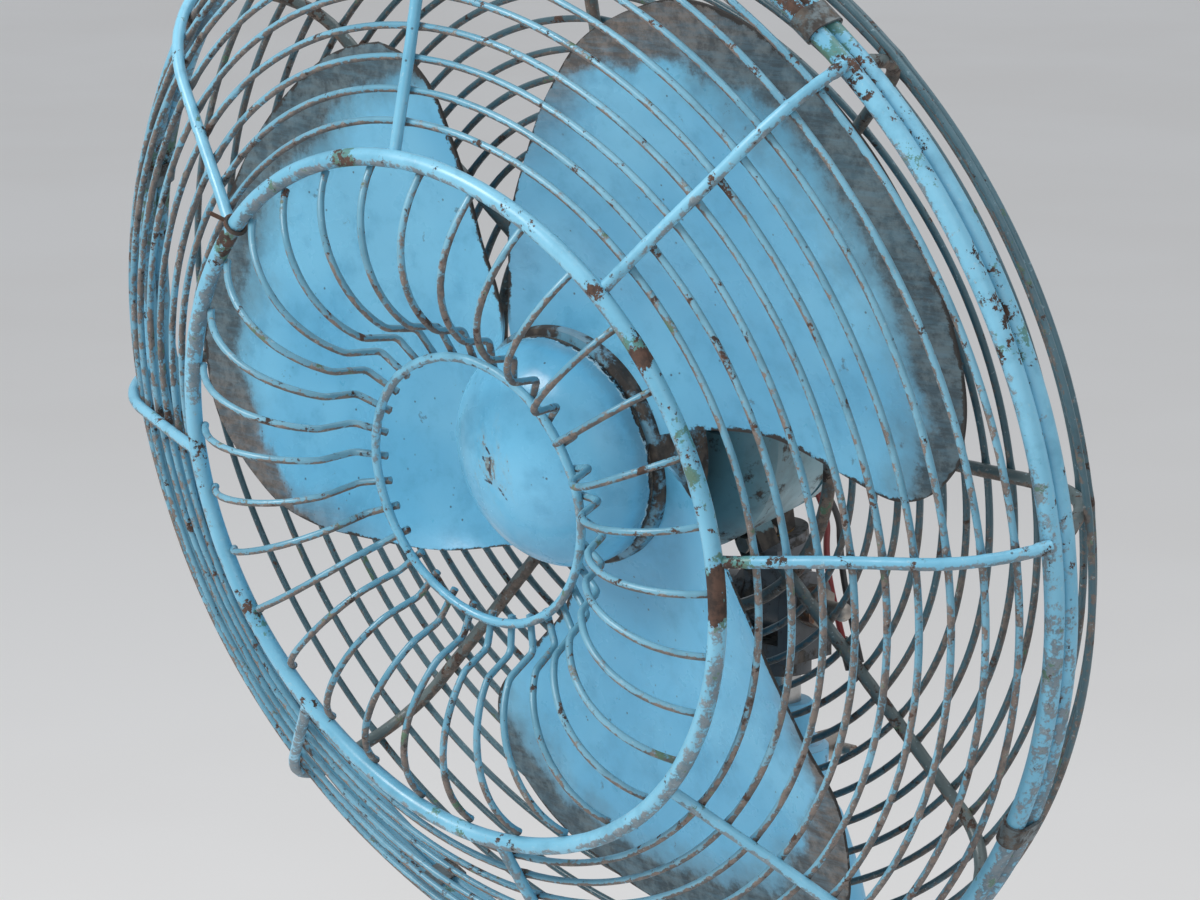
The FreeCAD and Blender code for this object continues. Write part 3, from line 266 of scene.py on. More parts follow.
def finish_enamel(g, colour, bare, dirt_and_shade, rough):
    """Principled inputs of an enamel with masks of bare metal and of dirt and painted shade."""
    fine = g.noise(420.0, 4, 0.6)
    rust = g.mix(g.ramp(g.noise(130.0, 5, 0.7), 0.40, 0.62), RUST, RUST_DARK)
    g.set(g.bsdf.inputs["Base Color"], g.mix(bare, colour, rust))
    gloss = g.ramp(g.noise(38.0, 4, 0.6), 0.3, 0.7, rough - 0.07, rough + 0.10)
    dull = g.times(g.math("MAXIMUM", bare, dirt_and_shade), 0.45)
    g.set(g.bsdf.inputs["Roughness"], g.math("ADD", gloss, dull, clamp=True))
    height = g.add(g.times(g.noise(150.0, 3, 0.5), 0.5), g.times(fine, 0.2))
    height = g.math("SUBTRACT", height, g.times(bare, 1.2))
    height = g.add(height, g.times(dirt_and_shade, g.noise(260.0, 5, 0.7)))
    g.set(g.bsdf.inputs["Normal"], g.bump(height, 0.35, 0.0006))
    return g.mat


def wire_material(name, light, mid, deep, rust_amount, dirt_amount):
    """Thick brushed enamel on wire, rusted at the welds, chipped, and brown below from dirt and
    painted shade.
    """
    g = Graph(name)
    colour = paint_colour(g, light, mid, deep)
    joint, chip = g.attribute("joint"), g.attribute("chip")
    fine = g.centred(520.0, 5, 0.75)
    grain = g.centred(240.0, 5, 0.7)
    broad = g.centred(55.0, 5, 0.65)
    # brown film in patches, ragged at its edge, and on the undersides, where it is dirt and painted
    # shade
    underside_dirt_and_shade = g.ramp(g.upward(), 0.30, -0.55)
    level = g.add(g.times(underside_dirt_and_shade, 0.34), broad, grain, g.times(fine, 0.6), g.times(joint, 0.10))
    start = 0.30 - 0.16 * dirt_amount
    film = g.ramp(level, start, start + 0.12)
    brown = g.mix(g.ramp(grain, -0.08, 0.10), FILM_DARK, FILM_LIGHT)
    dirt_and_shade = g.times(film, 0.55 + 0.35 * dirt_amount)
    colour = g.mix(dirt_and_shade, colour, brown)
    # chalky crests where the enamel is rubbed
    rubbed = g.ramp(g.add(fine, g.times(grain, 0.5)), 0.11, 0.18)
    colour = g.mix(g.times(rubbed, 0.45), colour, CHALK)
    # green undercoat beside the chips, and bare rusty metal inside them
    sprung = g.add(g.times(chip, 0.22), broad, g.times(grain, 0.8))
    colour = g.mix(g.times(g.ramp(sprung, 0.19, 0.22), 0.75), colour, UNDERCOAT)
    level = g.add(g.noise(95.0, 7, 0.72), g.times(fine, 0.30), g.times(joint, 0.07),
                  g.times(chip, 0.13))
    bare = g.ramp(level, 0.69 - rust_amount, 0.715 - rust_amount)
    return finish_enamel(g, colour, bare, dirt_and_shade, 0.34)


def casting_material(name, light, mid, deep, wear, dirt_amount, black_crud_and_shade=0.0, black_below=None):
    """Enamelled casting: worn outer edges, dirt in streaks, dust on top, black crud where asked (on
    the hub the black is painted shade).
    Below black_below metres over the pivot the crud is thick."""
    g = Graph(name)
    colour = paint_colour(g, light, mid, deep)
    edge = g.edges(0.0012, 0.55, 0.93)
    bare = g.ramp(g.add(g.noise(60.0, 7, 0.7), g.times(edge, 0.30 * wear)), 0.66, 0.70)
    streaks = g.noise(16.0, 5, 0.65, coords=g.stretched((1.6, 1.6, 0.35)))
    dirt_and_shade = g.times(g.ramp(streaks, 0.50, 0.72), dirt_amount)
    dust = g.times(g.ramp(g.upward(), 0.45, 0.95), g.ramp(g.noise(30.0, 4), 0.35, 0.7))
    colour = g.mix(dirt_and_shade, colour, GRIME)
    colour = g.mix(g.times(dust, 0.40), colour, DUST)
    if black_crud_and_shade:
        clumps = g.add(g.noise(48.0, 6, 0.72), g.times(g.noise(300.0, 5, 0.7), 0.25))
        if black_below is not None:
            low = g.ramp(g.height_over_pivot(), black_below + 0.006, black_below - 0.001)
            clumps = g.add(clumps, g.times(low, 0.30))
        start = 0.80 - 0.45 * black_crud_and_shade
        black = g.ramp(clumps, start, start + 0.10)
        tone = g.mix(g.ramp(g.noise(180.0, 4), 0.4, 0.65), GRIME_DARK, GRIME_BROWN)
        colour = g.mix(black, colour, tone)
        dirt_and_shade = g.math("MAXIMUM", dirt_and_shade, black)
    return finish_enamel(g, colour, bare, dirt_and_shade, 0.38)


def metal_material(name, base, dark, rust_amount, rough, metallic=1.0, polish=(1, 1, 14),
                   tint=RUST_ORANGE):
    """Bare steel, bronze or copper with turning marks, tarnish and rust."""
    g = Graph(name)
    tarnish = g.noise(40.0, 6, 0.7)
    colour = g.mix(g.ramp(tarnish, 0.35, 0.70), base, dark)
    rust = g.ramp(g.noise(85.0, 7, 0.72), 0.66 - rust_amount, 0.72 - rust_amount)
    rust_colour = g.mix(g.ramp(g.noise(210.0, 4), 0.4, 0.6), RUST, tint)
    g.set(g.bsdf.inputs["Base Color"], g.mix(rust, colour, rust_colour))
    g.set(g.bsdf.inputs["Metallic"], g.ramp(rust, 0.0, 0.8, metallic, 0.0))
    gloss = g.ramp(tarnish, 0.3, 0.7, rough, rough + 0.18)
    g.set(g.bsdf.inputs["Roughness"], g.math("ADD", gloss, g.times(rust, 0.4), clamp=True))
    marks = g.noise(60.0, 3, 0.6, coords=g.stretched(polish))
    height = g.add(g.times(marks, 0.4), g.times(rust, g.noise(300.0, 4)))
    g.set(g.bsdf.inputs["Normal"], g.bump(height, 0.3, 0.0005))
    return g.mat


def dull_material(name, base, worn, rough, dusty):
    """Rubber, bakelite and lead insulation with dust and scuffs."""
    g = Graph(name)
    scuffs = g.ramp(g.noise(95.0, 6, 0.72), 0.52, 0.72)
    colour = g.mix(g.times(scuffs, 0.6), base, worn)
    dust = g.times(g.ramp(g.upward(), 0.1, 0.9), g.ramp(g.noise(45.0, 5), 0.35, 0.7))
    g.set(g.bsdf.inputs["Base Color"], g.mix(g.times(dust, dusty), colour, DUST))
    g.set(g.bsdf.inputs["Roughness"], g.ramp(scuffs, 0, 1, rough, min(1.0, rough + 0.25)))
    g.set(g.bsdf.inputs["Normal"], g.bump(g.noise(260.0, 5, 0.6), 0.25, 0.0005))
    return g.mat


# ---- mesh helpers --------------------------------------------------------------------------
rng = np.random.default_rng(7)


def mesh_object(name, verts, faces, material, attributes=None, smooth_angle=40):
    """A smooth-shaded mesh with float attributes per point."""
    mesh = bpy.data.meshes.new(name)
    mesh.from_pydata([tuple(v) for v in verts], [], faces)
    for key, values in (attributes or {}).items():
        layer = mesh.attributes.new(key, "FLOAT", "POINT")
        layer.data.foreach_set("value", np.asarray(values, np.float32))
    mesh.materials.append(material)
    mesh.update()
    obj = bpy.data.objects.new(name, mesh)
    bpy.context.scene.collection.objects.link(obj)
    mesh.shade_smooth()
    mesh.set_sharp_from_angle(angle=math.radians(smooth_angle))
    return obj


def place(obj, body, node):
    """Puts a piece on its body, in the place of its CAD node, which it hides."""
    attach(obj, body)
    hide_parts(node)


class Tubes:
    """Collects round wires into one mesh, with a 'joint' and a 'chip' mask per point."""

    def __init__(self, sides=10):
        self.sides = sides
        self.verts, self.faces, self.joint, self.chip = [], [], [], []
        self.count = 0

    def add(self, points, radius, joint=None, closed=False, lumps=0.035, chip=None):
        """points in head-frame millimetres; radius in millimetres; lumps a share of the radius."""
        p = np.asarray(points, float)
        n = len(p)
        if closed:
            t = np.roll(p, -1, 0) - np.roll(p, 1, 0)
        else:
            t = np.gradient(p, axis=0)
        t /= np.linalg.norm(t, axis=1)[:, None]
        side = np.cross(t, np.where(np.abs(t[:, 1:2]) < 0.9, [[0.0, 1.0, 0.0]], [[1.0, 0.0, 0.0]]))
        side /= np.linalg.norm(side, axis=1)[:, None]
        for i in range(1, n):
            s = side[i - 1] - t[i] * np.dot(side[i - 1], t[i])
            side[i] = s / np.linalg.norm(s)
        up = np.cross(t, side)
        turn = 0.0
        if closed:
            s = side[-1] - t[0] * np.dot(side[-1], t[0])
            turn = math.atan2(np.dot(s, up[0]), np.dot(s, side[0]))
        steps = np.arange(n)
        lump = np.zeros(n)
        for waves in (3, 7, 17, 31):
            phase = rng.uniform(0, 2 * math.pi)
            lump += np.sin(steps * waves * 2 * math.pi / n + phase) / 4
        r = radius * (1 + lumps * lump)
        joint = np.zeros(n) if joint is None else np.asarray(joint, float)
        chip = np.zeros(n) if chip is None else np.asarray(chip, float)
        r = r + 0.28 * joint ** 2
        rows = []
        for k in range(self.sides):
            a = 2 * math.pi * k / self.sides - turn * steps / n
            rows.append(p + (side * np.cos(a)[:, None] + up * np.sin(a)[:, None]) * r[:, None])
        ring_points = np.stack(rows, 1).reshape(-1, 3)
        base = self.count
        m = self.sides
        for i in range(n if closed else n - 1):
            j = (i + 1) % n
            for k in range(m):
                l = (k + 1) % m
                near, far = base + i * m, base + j * m
                self.faces.append((near + k, near + l, far + l, far + k))
        self.verts.append(ring_points)
        self.joint.append(np.repeat(joint, m))
        self.chip.append(np.repeat(chip, m))
        self.count += n * m
        if not closed:
            ends = []
            for i, way in ((0, -1), (n - 1, 1)):
                ends.append(p[i] + t[i] * way * radius * 0.45)
            self.verts.append(np.array(ends))
            self.joint.append(np.array([joint[0], joint[-1]]))
            self.chip.append(np.array([chip[0], chip[-1]]))
            for k in range(m):
                l = (k + 1) % m
                self.faces.append((self.count, base + l, base + k))
                last = base + (n - 1) * m
                self.faces.append((self.count + 1, last + k, last + l))
            self.count += 2

    def build(self, name, material):
        verts = world(np.concatenate(self.verts))
        masks = {"joint": np.concatenate(self.joint), "chip": np.concatenate(self.chip)}
        return mesh_object(name, verts, self.faces, material, masks, 60)


def turned_head(points, phi):
    """Points (out, rear) or (out, rear, side) turned to the angle phi about the fan's axis."""
    p = np.asarray(points, float)
    side = p[:, 2] if p.shape[1] > 2 else np.zeros(len(p))
    c, s = math.cos(phi), math.sin(phi)
    return np.stack([p[:, 0] * c - side * s, p[:, 1], p[:, 0] * s + side * c], 1)


def profile(start, heading, moves, step=2.0):
    """Points (out, rear) along straight runs (length, 0) and bends (radius, turn)."""
    out, rear = start
    angle = math.radians(heading)
    points = [(out, rear)]
    for size, turn in moves:
        if turn == 0:
            count = max(2, int(size / step))
            for i in range(1, count + 1):
                d = size * i / count
                points.append((out + d * math.cos(angle), rear + d * math.sin(angle)))
        else:
            side = 1 if turn > 0 else -1
            total = math.radians(turn)
            count = max(3, int(abs(total) * size / step), int(abs(turn) / 6))
            co = out - side * size * math.sin(angle)
            cr = rear + side * size * math.cos(angle)
            for i in range(1, count + 1):
                a = angle + total * i / count
                points.append((co + side * size * math.sin(a), cr - side * size * math.cos(a)))
            angle += total
        out, rear = points[-1]
    return np.array(points)


def ring_points(radius, rear, wobble=0.35, count=240):
    """A slightly uneven circle about the fan's axis."""
    a = np.linspace(0, 2 * math.pi, count, endpoint=False)
    out = np.full(count, float(radius))
    back = np.full(count, float(rear))
    for waves in (2, 3, 5, 8):
        out += wobble / waves * np.sin(waves * a + rng.uniform(0, 6.28))
        back += wobble / waves * np.sin(waves * a + rng.uniform(0, 6.28))
    return np.stack([out * np.cos(a), back, out * np.sin(a)], 1), a


def spoke_joint(a, radius, spokes=8, reach=5.0, first=0.0):
    """1 where a ring crosses a spoke, fading to 0 within reach millimetres."""
    step = 2 * math.pi / spokes
    off = np.abs((a - first + step / 2) % step - step / 2) * radius
    return np.clip(1 - off / reach, 0, 1)


def bare_patches(a, patches):
    """Mask of bare patches on a ring, each (degrees, half width in degrees, strength)."""
    mask = np.zeros(len(a))
    for centre, half, strength in patches:
        off = (np.degrees(a) - centre + 180) % 360 - 180
        mask = np.maximum(mask, strength * np.clip(1.6 - np.abs(off) / half, 0, 1))
    return mask


# ---- materials -----------------------------------------------------------------------------
wire_blue = wire_material("wire_blue", (0.160, 0.370, 0.490), (0.095, 0.265, 0.370),
                          (0.050, 0.150, 0.215), 0.088, 1.05)
rod_blue = wire_material("rod_blue", (0.195, 0.475, 0.640), (0.130, 0.375, 0.530),
                         (0.075, 0.245, 0.360), 0.060, 0.42)
# the rear guard's darker colours are painted shade behind the blades; its rods also carry more rust
# and dirt
wire_rear_painted_shade = wire_material("wire_rear_painted_shade", (0.085, 0.170, 0.210), (0.050, 0.105, 0.130),
                          (0.028, 0.055, 0.066), 0.080, 0.60)
rod_rear_dirt_and_shade = wire_material("rod_rear_dirt_and_shade", (0.130, 0.165, 0.165), (0.075, 0.105, 0.110),
                         (0.045, 0.055, 0.055), 0.110, 1.0)
casting = casting_material("casting_blue", BLUE_LIGHT, BLUE, BLUE_DEEP, 0.5, 0.35)
# motor castings: darker, greyer teal that is painted shade from above; the black patches are crud
casting_motor_painted_shade = casting_material("casting_motor_painted_shade", (0.185, 0.345, 0.400), (0.110, 0.245, 0.290),
                                 (0.050, 0.130, 0.155), 0.4, 0.45, 0.32, 0.041)
# hub drum: darker blue and heavy black, painted shade of the dark gap behind the blades
casting_hub_painted_shade = casting_material("casting_hub_painted_shade", (0.150, 0.360, 0.500), (0.095, 0.260, 0.370),
                               (0.040, 0.110, 0.150), 0.5, 0.5, 0.56)
casting_dark = casting_material("casting_dark", (0.115, 0.125, 0.140), (0.055, 0.062, 0.070),
                                (0.022, 0.025, 0.028), 0.8, 0.6, 0.46)
casting_clip = casting_material("casting_clip", (0.120, 0.190, 0.220), (0.070, 0.105, 0.120),
                                (0.030, 0.040, 0.045), 0.9, 0.6, 0.35)
tube_blue = casting_material("tube_blue", BLUE_LIGHT, BLUE, BLUE_DEEP, 0.4, 0.30)
steel_bare = metal_material("steel_bare", (0.36, 0.33, 0.30), (0.17, 0.15, 0.13), 0.12, 0.42)
steel_shaft = metal_material("steel_shaft", (0.50, 0.50, 0.49), (0.28, 0.27, 0.26), 0.0, 0.24)
rusty = metal_material("rusty_iron", (0.090, 0.070, 0.060), (0.040, 0.032, 0.028), 0.16, 0.6,
                       metallic=0.5, tint=(0.070, 0.040, 0.026))
bronze = metal_material("bronze", (0.52, 0.36, 0.15), (0.26, 0.16, 0.07), -0.1, 0.33)
copper = metal_material("copper_winding", (0.40, 0.16, 0.07), (0.19, 0.07, 0.035), -0.1, 0.4,
                        polish=(1, 60, 1))
lamination = metal_material("laminations", (0.26, 0.26, 0.27), (0.13, 0.13, 0.14), 0.0, 0.5,
                            polish=(1, 40, 1))
rubber = dull_material("rubber_black", (0.018, 0.018, 0.018), (0.055, 0.052, 0.048), 0.62, 0.4)
bakelite = dull_material("bakelite", (0.020, 0.014, 0.012), (0.07, 0.05, 0.04), 0.28, 0.25)
red_lead = dull_material("insulation_red", (0.210, 0.016, 0.018), (0.130, 0.040, 0.034), 0.5, 0.30)
black_lead = dull_material("insulation_black", (0.016, 0.016, 0.018), (0.06, 0.058, 0.055), 0.5, 0.35)


def blade_material():
    """Glossy enamel on the sheet blades, with the grime that a fan collects.
    The attributes are each point's distances in millimetres from the blade's four borders."""
    g = Graph("blade_enamel")
    colour = paint_colour(g)
    lead, tip, trail, root = (g.attribute(k) for k in ("lead_mm", "tip_mm", "trail_mm", "root_mm"))
    broad = g.centred(26.0, 6, 0.68)
    ragged = g.centred(130.0, 7, 0.75)
    scratch = g.noise(60.0, 5, 0.7, coords=g.stretched((1.0, 1.0, 7.0)))
    # grey-blue film over the outer part
    film = g.ramp(g.add(tip, g.times(broad, 55.0)), 42.0, 18.0)
    colour = g.mix(g.times(film, 0.62), colour, (0.080, 0.150, 0.185))
    # slate band at the tip and along the outer trailing edge, brown in the trailing corner
    wobble = g.add(g.times(broad, 34.0), g.times(ragged, 12.0))
    corner = g.ramp(trail, 75.0, 15.0)
    at_tip = g.ramp(g.math("SUBTRACT", g.add(tip, wobble), g.times(corner, 16.0)), 25.0, 17.0)
    outer = g.ramp(root, 55.0, 110.0)
    at_trail = g.times(g.ramp(g.add(trail, wobble), 22.0, 2.0), g.times(outer, 0.8))
    band = g.times(g.math("MAXIMUM", at_tip, at_trail), g.ramp(scratch, 0.30, 0.62, 0.72, 1.0))
    grit = g.ramp(ragged, -0.10, 0.12)
    slate = g.mix(grit, (0.035, 0.046, 0.052), (0.105, 0.135, 0.145))
    earth = g.mix(grit, (0.075, 0.055, 0.042), (0.175, 0.132, 0.104))
    colour = g.mix(g.times(band, 0.93), colour, g.mix(corner, slate, earth))
    # small dark stains and flecks, thicker where the film is
    flecks = g.ramp(g.add(g.noise(110.0, 6, 0.72), g.times(film, 0.05)), 0.655, 0.70)
    colour = g.mix(g.times(flecks, 0.55), colour, (0.050, 0.062, 0.070))
    # dark ragged crust on the leading edge and the tip's rim
    edge = g.math("MINIMUM", lead, tip)
    crust = g.ramp(g.add(edge, g.times(ragged, 10.0)), 1.5, 0.7)
    rim = g.ramp(g.add(trail, g.times(ragged, 8.0)), 1.1, 0.3)
    crust = g.times(g.math("MAXIMUM", crust, rim), g.ramp(root, 4.0, 14.0))
    colour = g.mix(crust, colour, GRIME_DARK)
    worn = g.ramp(g.add(ragged, g.times(broad, 0.5)), 0.285, 0.31)
    bare = g.times(worn, g.ramp(g.noise(12.0, 3), 0.56, 0.66))
    return finish_enamel(g, colour, bare, g.math("MAXIMUM", band, crust), 0.30)


# ---- blades --------------------------------------------------------------------------------
def smooth(rows, values):
    """Smooth interpolation through rows of (value, result)."""
    x = np.array([r[0] for r in rows], float)
    y = np.array([r[1] for r in rows], float)
    v = np.clip(np.asarray(values, float), x[0], x[-1])
    slope = np.gradient(y, x)
    i = np.clip(np.searchsorted(x, v, "right") - 1, 0, len(x) - 2)
    h = x[i + 1] - x[i]
    t = (v - x[i]) / h
    a = y[i] * (1 + 2 * t) * (1 - t) ** 2 + y[i + 1] * t * t * (3 - 2 * t)
    return a + h * (slope[i] * t * (1 - t) ** 2 - slope[i + 1] * t * t * (1 - t))


# Blade borders: degrees about the axis and millimetres rear, each against the radius; and the tip's
# radius against the share of the way from the leading to the trailing edge.
BLADE_ROOT = 44.0
BLADE_SHEET = 1.2
LEADING_TIP, TRAILING_TIP = 168, 181
LEADING_ANGLE = [(45, 13), (65, 9.5), (82, 7), (104, 1.9), (122, -1), (141, -2.5), (156, -0.5),
                 (172, 5)]
TRAILING_ANGLE = [(45, 121), (65, 106), (85, 96), (110, 87), (144, 79.5), (167, 75), (182, 70)]
LEADING_REAR = [(45, 68), (53, 75), (65, 80), (85, 84), (150, 84.5), (175, 87)]
TRAILING_REAR = [(45, 67), (65, 65), (85, 59.5), (110, 56), (144, 55), (167, 59), (182, 62)]
TIP_RADIUS = [(0, LEADING_TIP), (0.1, 177), (0.25, 185), (0.4, 191.5), (0.55, 196.5), (0.7, 199.8),
              (0.82, 200), (0.92, 194), (1.0, TRAILING_TIP)]
CAMBER = 5.0


def blade_surface(u, v):
    """The sheet at u from leading to trailing edge and v from root to tip."""
    tip = smooth(TIP_RADIUS, u)
    reach = BLADE_ROOT + (tip - BLADE_ROOT) * v
    leading = BLADE_ROOT + (LEADING_TIP - BLADE_ROOT) * v
    trailing = BLADE_ROOT + (TRAILING_TIP - BLADE_ROOT) * v
    first = smooth(LEADING_ANGLE, leading)
    last = smooth(TRAILING_ANGLE, trailing)
    angle = np.radians(first + (last - first) * u)
    rear = smooth(LEADING_REAR, leading) * (1 - u) + smooth(TRAILING_REAR, trailing) * u
    rear = rear + CAMBER * 4 * u * (1 - u) * np.minimum(1.0, 0.3 + v)
    return reach, angle, rear, first, last, tip


def make_blade(index, material):
    """One sheet blade, slightly dented, with its distances from the borders as attributes."""
    columns, rows = 90, 70
    u, v = np.meshgrid(np.linspace(0, 1, columns), np.linspace(0, 1, rows), indexing="ij")
    reach, angle, rear, first, last, tip = blade_surface(u, v)
    x, z = reach * np.cos(angle), reach * np.sin(angle)
    shift = index * 9.7
    for waves, size in ((0.021, 0.55), (0.047, 0.22), (0.11, 0.07)):
        rear = rear + size * np.sin(x * waves + shift) * np.cos(z * waves * 1.3 + shift * 2)
    lead = (angle - np.radians(first)) * reach
    trail = (np.radians(last) - angle) * reach
    phi = 2 * math.pi * (index - 1) / 3
    front = turned_head(np.stack([x.ravel(), rear.ravel(), z.ravel()], 1), phi)
    back = front + np.array([0, BLADE_SHEET, 0])
    verts = world(np.concatenate([front, back]))
    n = columns * rows
    faces = []
    for i in range(columns - 1):
        for j in range(rows - 1):
            a, b, d, e = i * rows + j, (i + 1) * rows + j, (i + 1) * rows + j + 1, i * rows + j + 1
            faces.append((a, b, d, e))
            faces.append((n + e, n + d, n + b, n + a))
    border = [i * rows for i in range(columns)] + [(columns - 1) * rows + j for j in range(1, rows)]
    border += [i * rows + rows - 1 for i in range(columns - 2, -1, -1)] + list(range(rows - 2, 0, -1))
    for a, b in zip(border, border[1:] + border[:1]):
        faces.append((b, a, n + a, n + b))
    values = {"lead_mm": lead, "trail_mm": trail, "tip_mm": tip - reach, "root_mm": reach - BLADE_ROOT}
    values = {k: np.tile(w.ravel(), 2) for k, w in values.items()}
    obj = mesh_object(f"blade_sheet_{index}", verts, faces, material, values, 50)
    place(obj, "rotor", f"blade_{index}")


blade_paint = blade_material()
for index in (1, 2, 3):
    make_blade(index, blade_paint)


# ---- guard wires ---------------------------------------------------------------------------
# Profiles (out, rear): start, heading in degrees, straight runs (length, 0) and bends (radius, turn).
FRONT_START, FRONT_SLOPE, FRONT_RUN, FRONT_BEND, FRONT_TURN = (130.0, 5.3), 22.5, 67.3, 60.0, 43.2
FRONT = (FRONT_START, FRONT_SLOPE, [(FRONT_RUN, 0), (FRONT_BEND, FRONT_TURN)])
REAR = ((79.0, 111.85), -3.0, [(111.0, 0), (33.0, -64.0), (14.5, 0)])
MEDALLION = ((-126.5, 2.0), -46.0,
             [(40.7, 92.0), (8.0, 26.0), (10.0, 0), (4.5, -54.0), (11.5, 0)])
WIRE, SPOKE, REAR_SPOKE, MIDDLE_ROD, RIM_ROD, SMALL_ROD = 1.35, 2.2, 2.5, 3.2, 3.5, 1.7
MIDDLE_RADIUS, SMALL_RADIUS, HOOP_RADIUS, RIM_RADIUS = 130, 51, 82, 224.6
REAR_SPOKE_STANDOFF = 3.6
# Bare patches: degrees round the ring, half width in degrees, strength.
MIDDLE_CHIPS = ((-4, 4.5, 1.6), (12, 12, 0.45), (34, 2.0, 1.2), (137, 3.0, 1.1), (100, 2.5, 0.8),
                (208, 5.0, 0.5), (262, 6.0, 0.4))
RIM_CHIPS = ((55, 16, 0.75), (20, 5, 0.5), (78, 3, 0.9), (200, 12, 0.5), (158, 5, 0.7), (-50, 6, 0.6))


def offset_point(path, distance, standoff):
    """Point at a distance along a profile, moved square to it."""
    points = profile(*path, step=0.5)
    steps = np.linalg.norm(np.diff(points, axis=0), axis=1)
    along = np.concatenate([[0], np.cumsum(steps)])
    heading = np.diff(points, axis=0)[np.clip(np.searchsorted(along, distance) - 1, 0, len(steps) - 1)]
    heading = heading / np.linalg.norm(heading)
    out = np.interp(distance, along, points[:, 0])
    rear = np.interp(distance, along, points[:, 1])
    return out - standoff * heading[1], rear + standoff * heading[0]


def make_front_guard():
    rings = Tubes(10)
    length = FRONT_RUN + FRONT_BEND * math.radians(FRONT_TURN)
    for k in range(1, 10):
        out, rear = offset_point(FRONT, length * k / 10, 0)
        points, a = ring_points(out, rear, 0.45)
        rings.add(points, WIRE, spoke_joint(a, out), closed=True)
    place(rings.build("front_ring_wires", wire_blue), "head", "front_guard_rings")
    slope = math.radians(FRONT_SLOPE)
    lift = 3.3
    start = (FRONT_START[0] + lift * math.sin(slope), FRONT_START[1] - lift * math.cos(slope))
    path = profile(start, FRONT_SLOPE, [(FRONT_RUN, 0), (FRONT_BEND + lift, FRONT_TURN)], 1.5)
    spokes = Tubes(12)
    along = np.linspace(0, 1, len(path))
    for k in range(8):
        joint = np.clip(1 - np.abs((along * 10 + 0.5) % 1 - 0.5) * 4, 0, 1) * 0.6
        joint[-4:] = 1
        sway = 0.5 * np.sin(along * 5 + k * 1.7) * np.sin(along * math.pi)
        points = turned_head(np.column_stack([path, sway]), math.radians(45 * k))
        chip = np.clip(1.15 - along * 3.2, 0, 1) if k == 0 else None
        spokes.add(points, SPOKE, joint, chip=chip)
    place(spokes.build("front_spoke_rods", rod_blue), "head", "front_guard_spokes")


def make_medallion():
    """The curved wires from the middle ring to the small one, and both rings."""
    wires = Tubes(10)
    path = profile(*MEDALLION, step=1.5)
    path[:, 0] *= -1
    along = np.linspace(0, 1, len(path))
    for k in range(32):
        joint = np.clip(1 - along * 22, 0, 1) + np.clip(1 - (1 - along) * 16, 0, 1)
        sway = 1.0 * np.sin(along * math.pi) * rng.uniform(-1, 1) + 0.5 * np.sin(along * 7 + k)
        lean = np.sin(along * math.pi) * rng.uniform(-0.6, 0.6)
        bent = np.column_stack([path[:, 0], path[:, 1] + lean, sway * np.sin(along * math.pi)])
        points = turned_head(bent, math.radians(5.625 + 11.25 * k))
        wires.add(points, WIRE, joint * 0.7)
    place(wires.build("medallion_wire_set", wire_blue), "head", "medallion_wires")
    middle = Tubes(16)
    points, a = ring_points(MIDDLE_RADIUS, 0, 0.5, 360)
    middle.add(points, MIDDLE_ROD, spoke_joint(a, MIDDLE_RADIUS, 8, 9) * 0.5, closed=True,
               lumps=0.03, chip=bare_patches(a, MIDDLE_CHIPS))
    place(middle.build("middle_ring_rod", rod_blue), "head", "mid_ring")
    small = Tubes(12)
    points, a = ring_points(SMALL_RADIUS, 17.4, 0.4, 240)
    joint = spoke_joint(a, SMALL_RADIUS, 32, 2.5, math.radians(5.625)) * 0.7
    small.add(points, SMALL_ROD, joint, closed=True, lumps=0.05)
    place(small.build("medallion_ring_rod", rod_blue), "head", "medallion_ring")


def make_rear_guard():
    rings = Tubes(10)
    for k in range(13):
        out, rear = offset_point(REAR, 15.0 + 10.95 * k, REAR_SPOKE_STANDOFF)
        points, a = ring_points(out, rear, 0.5)
        rings.add(points, WIRE, spoke_joint(a, out), closed=True)
    place(rings.build("rear_ring_wires", wire_rear_painted_shade), "head", "rear_guard_rings")
    spokes = Tubes(12)
    path = profile(*REAR, step=1.5)
    along = np.linspace(0, 1, len(path))
    for k in range(8):
        bent = np.column_stack([path, 0.5 * np.sin(along * 4 + k)])
        points = turned_head(bent, math.radians(45 * k))
        spokes.add(points, REAR_SPOKE, np.clip(np.abs(along - 0.5) * 2 - 0.8, 0, 1) * 3)
    place(spokes.build("rear_spoke_rods", rod_rear_dirt_and_shade), "head", "rear_guard_spokes")
    hoop = Tubes(12)
    points, a = ring_points(HOOP_RADIUS, 116.4, 0.2)
    hoop.add(points, REAR_SPOKE, spoke_joint(a, HOOP_RADIUS), closed=True)
    place(hoop.build("mount_hoop_rod", rod_rear_dirt_and_shade), "head", "mount_hoop")


def make_rims():
    for name, node, rear in (("front_rim_rod", "front_guard_hoop", 63.2),
                             ("rear_rim_rod", "rear_guard_hoop", 70.6)):
        rim = Tubes(18)
        points, a = ring_points(RIM_RADIUS, rear, 0.25, 420)
        rim.add(points, RIM_ROD, spoke_joint(a, RIM_RADIUS, 8, 9) * 0.8, closed=True, lumps=0.02,
                chip=bare_patches(a, RIM_CHIPS))
        place(rim.build(name, rod_blue), "head", node)


make_front_guard()
make_medallion()
make_rear_guard()
make_rims()


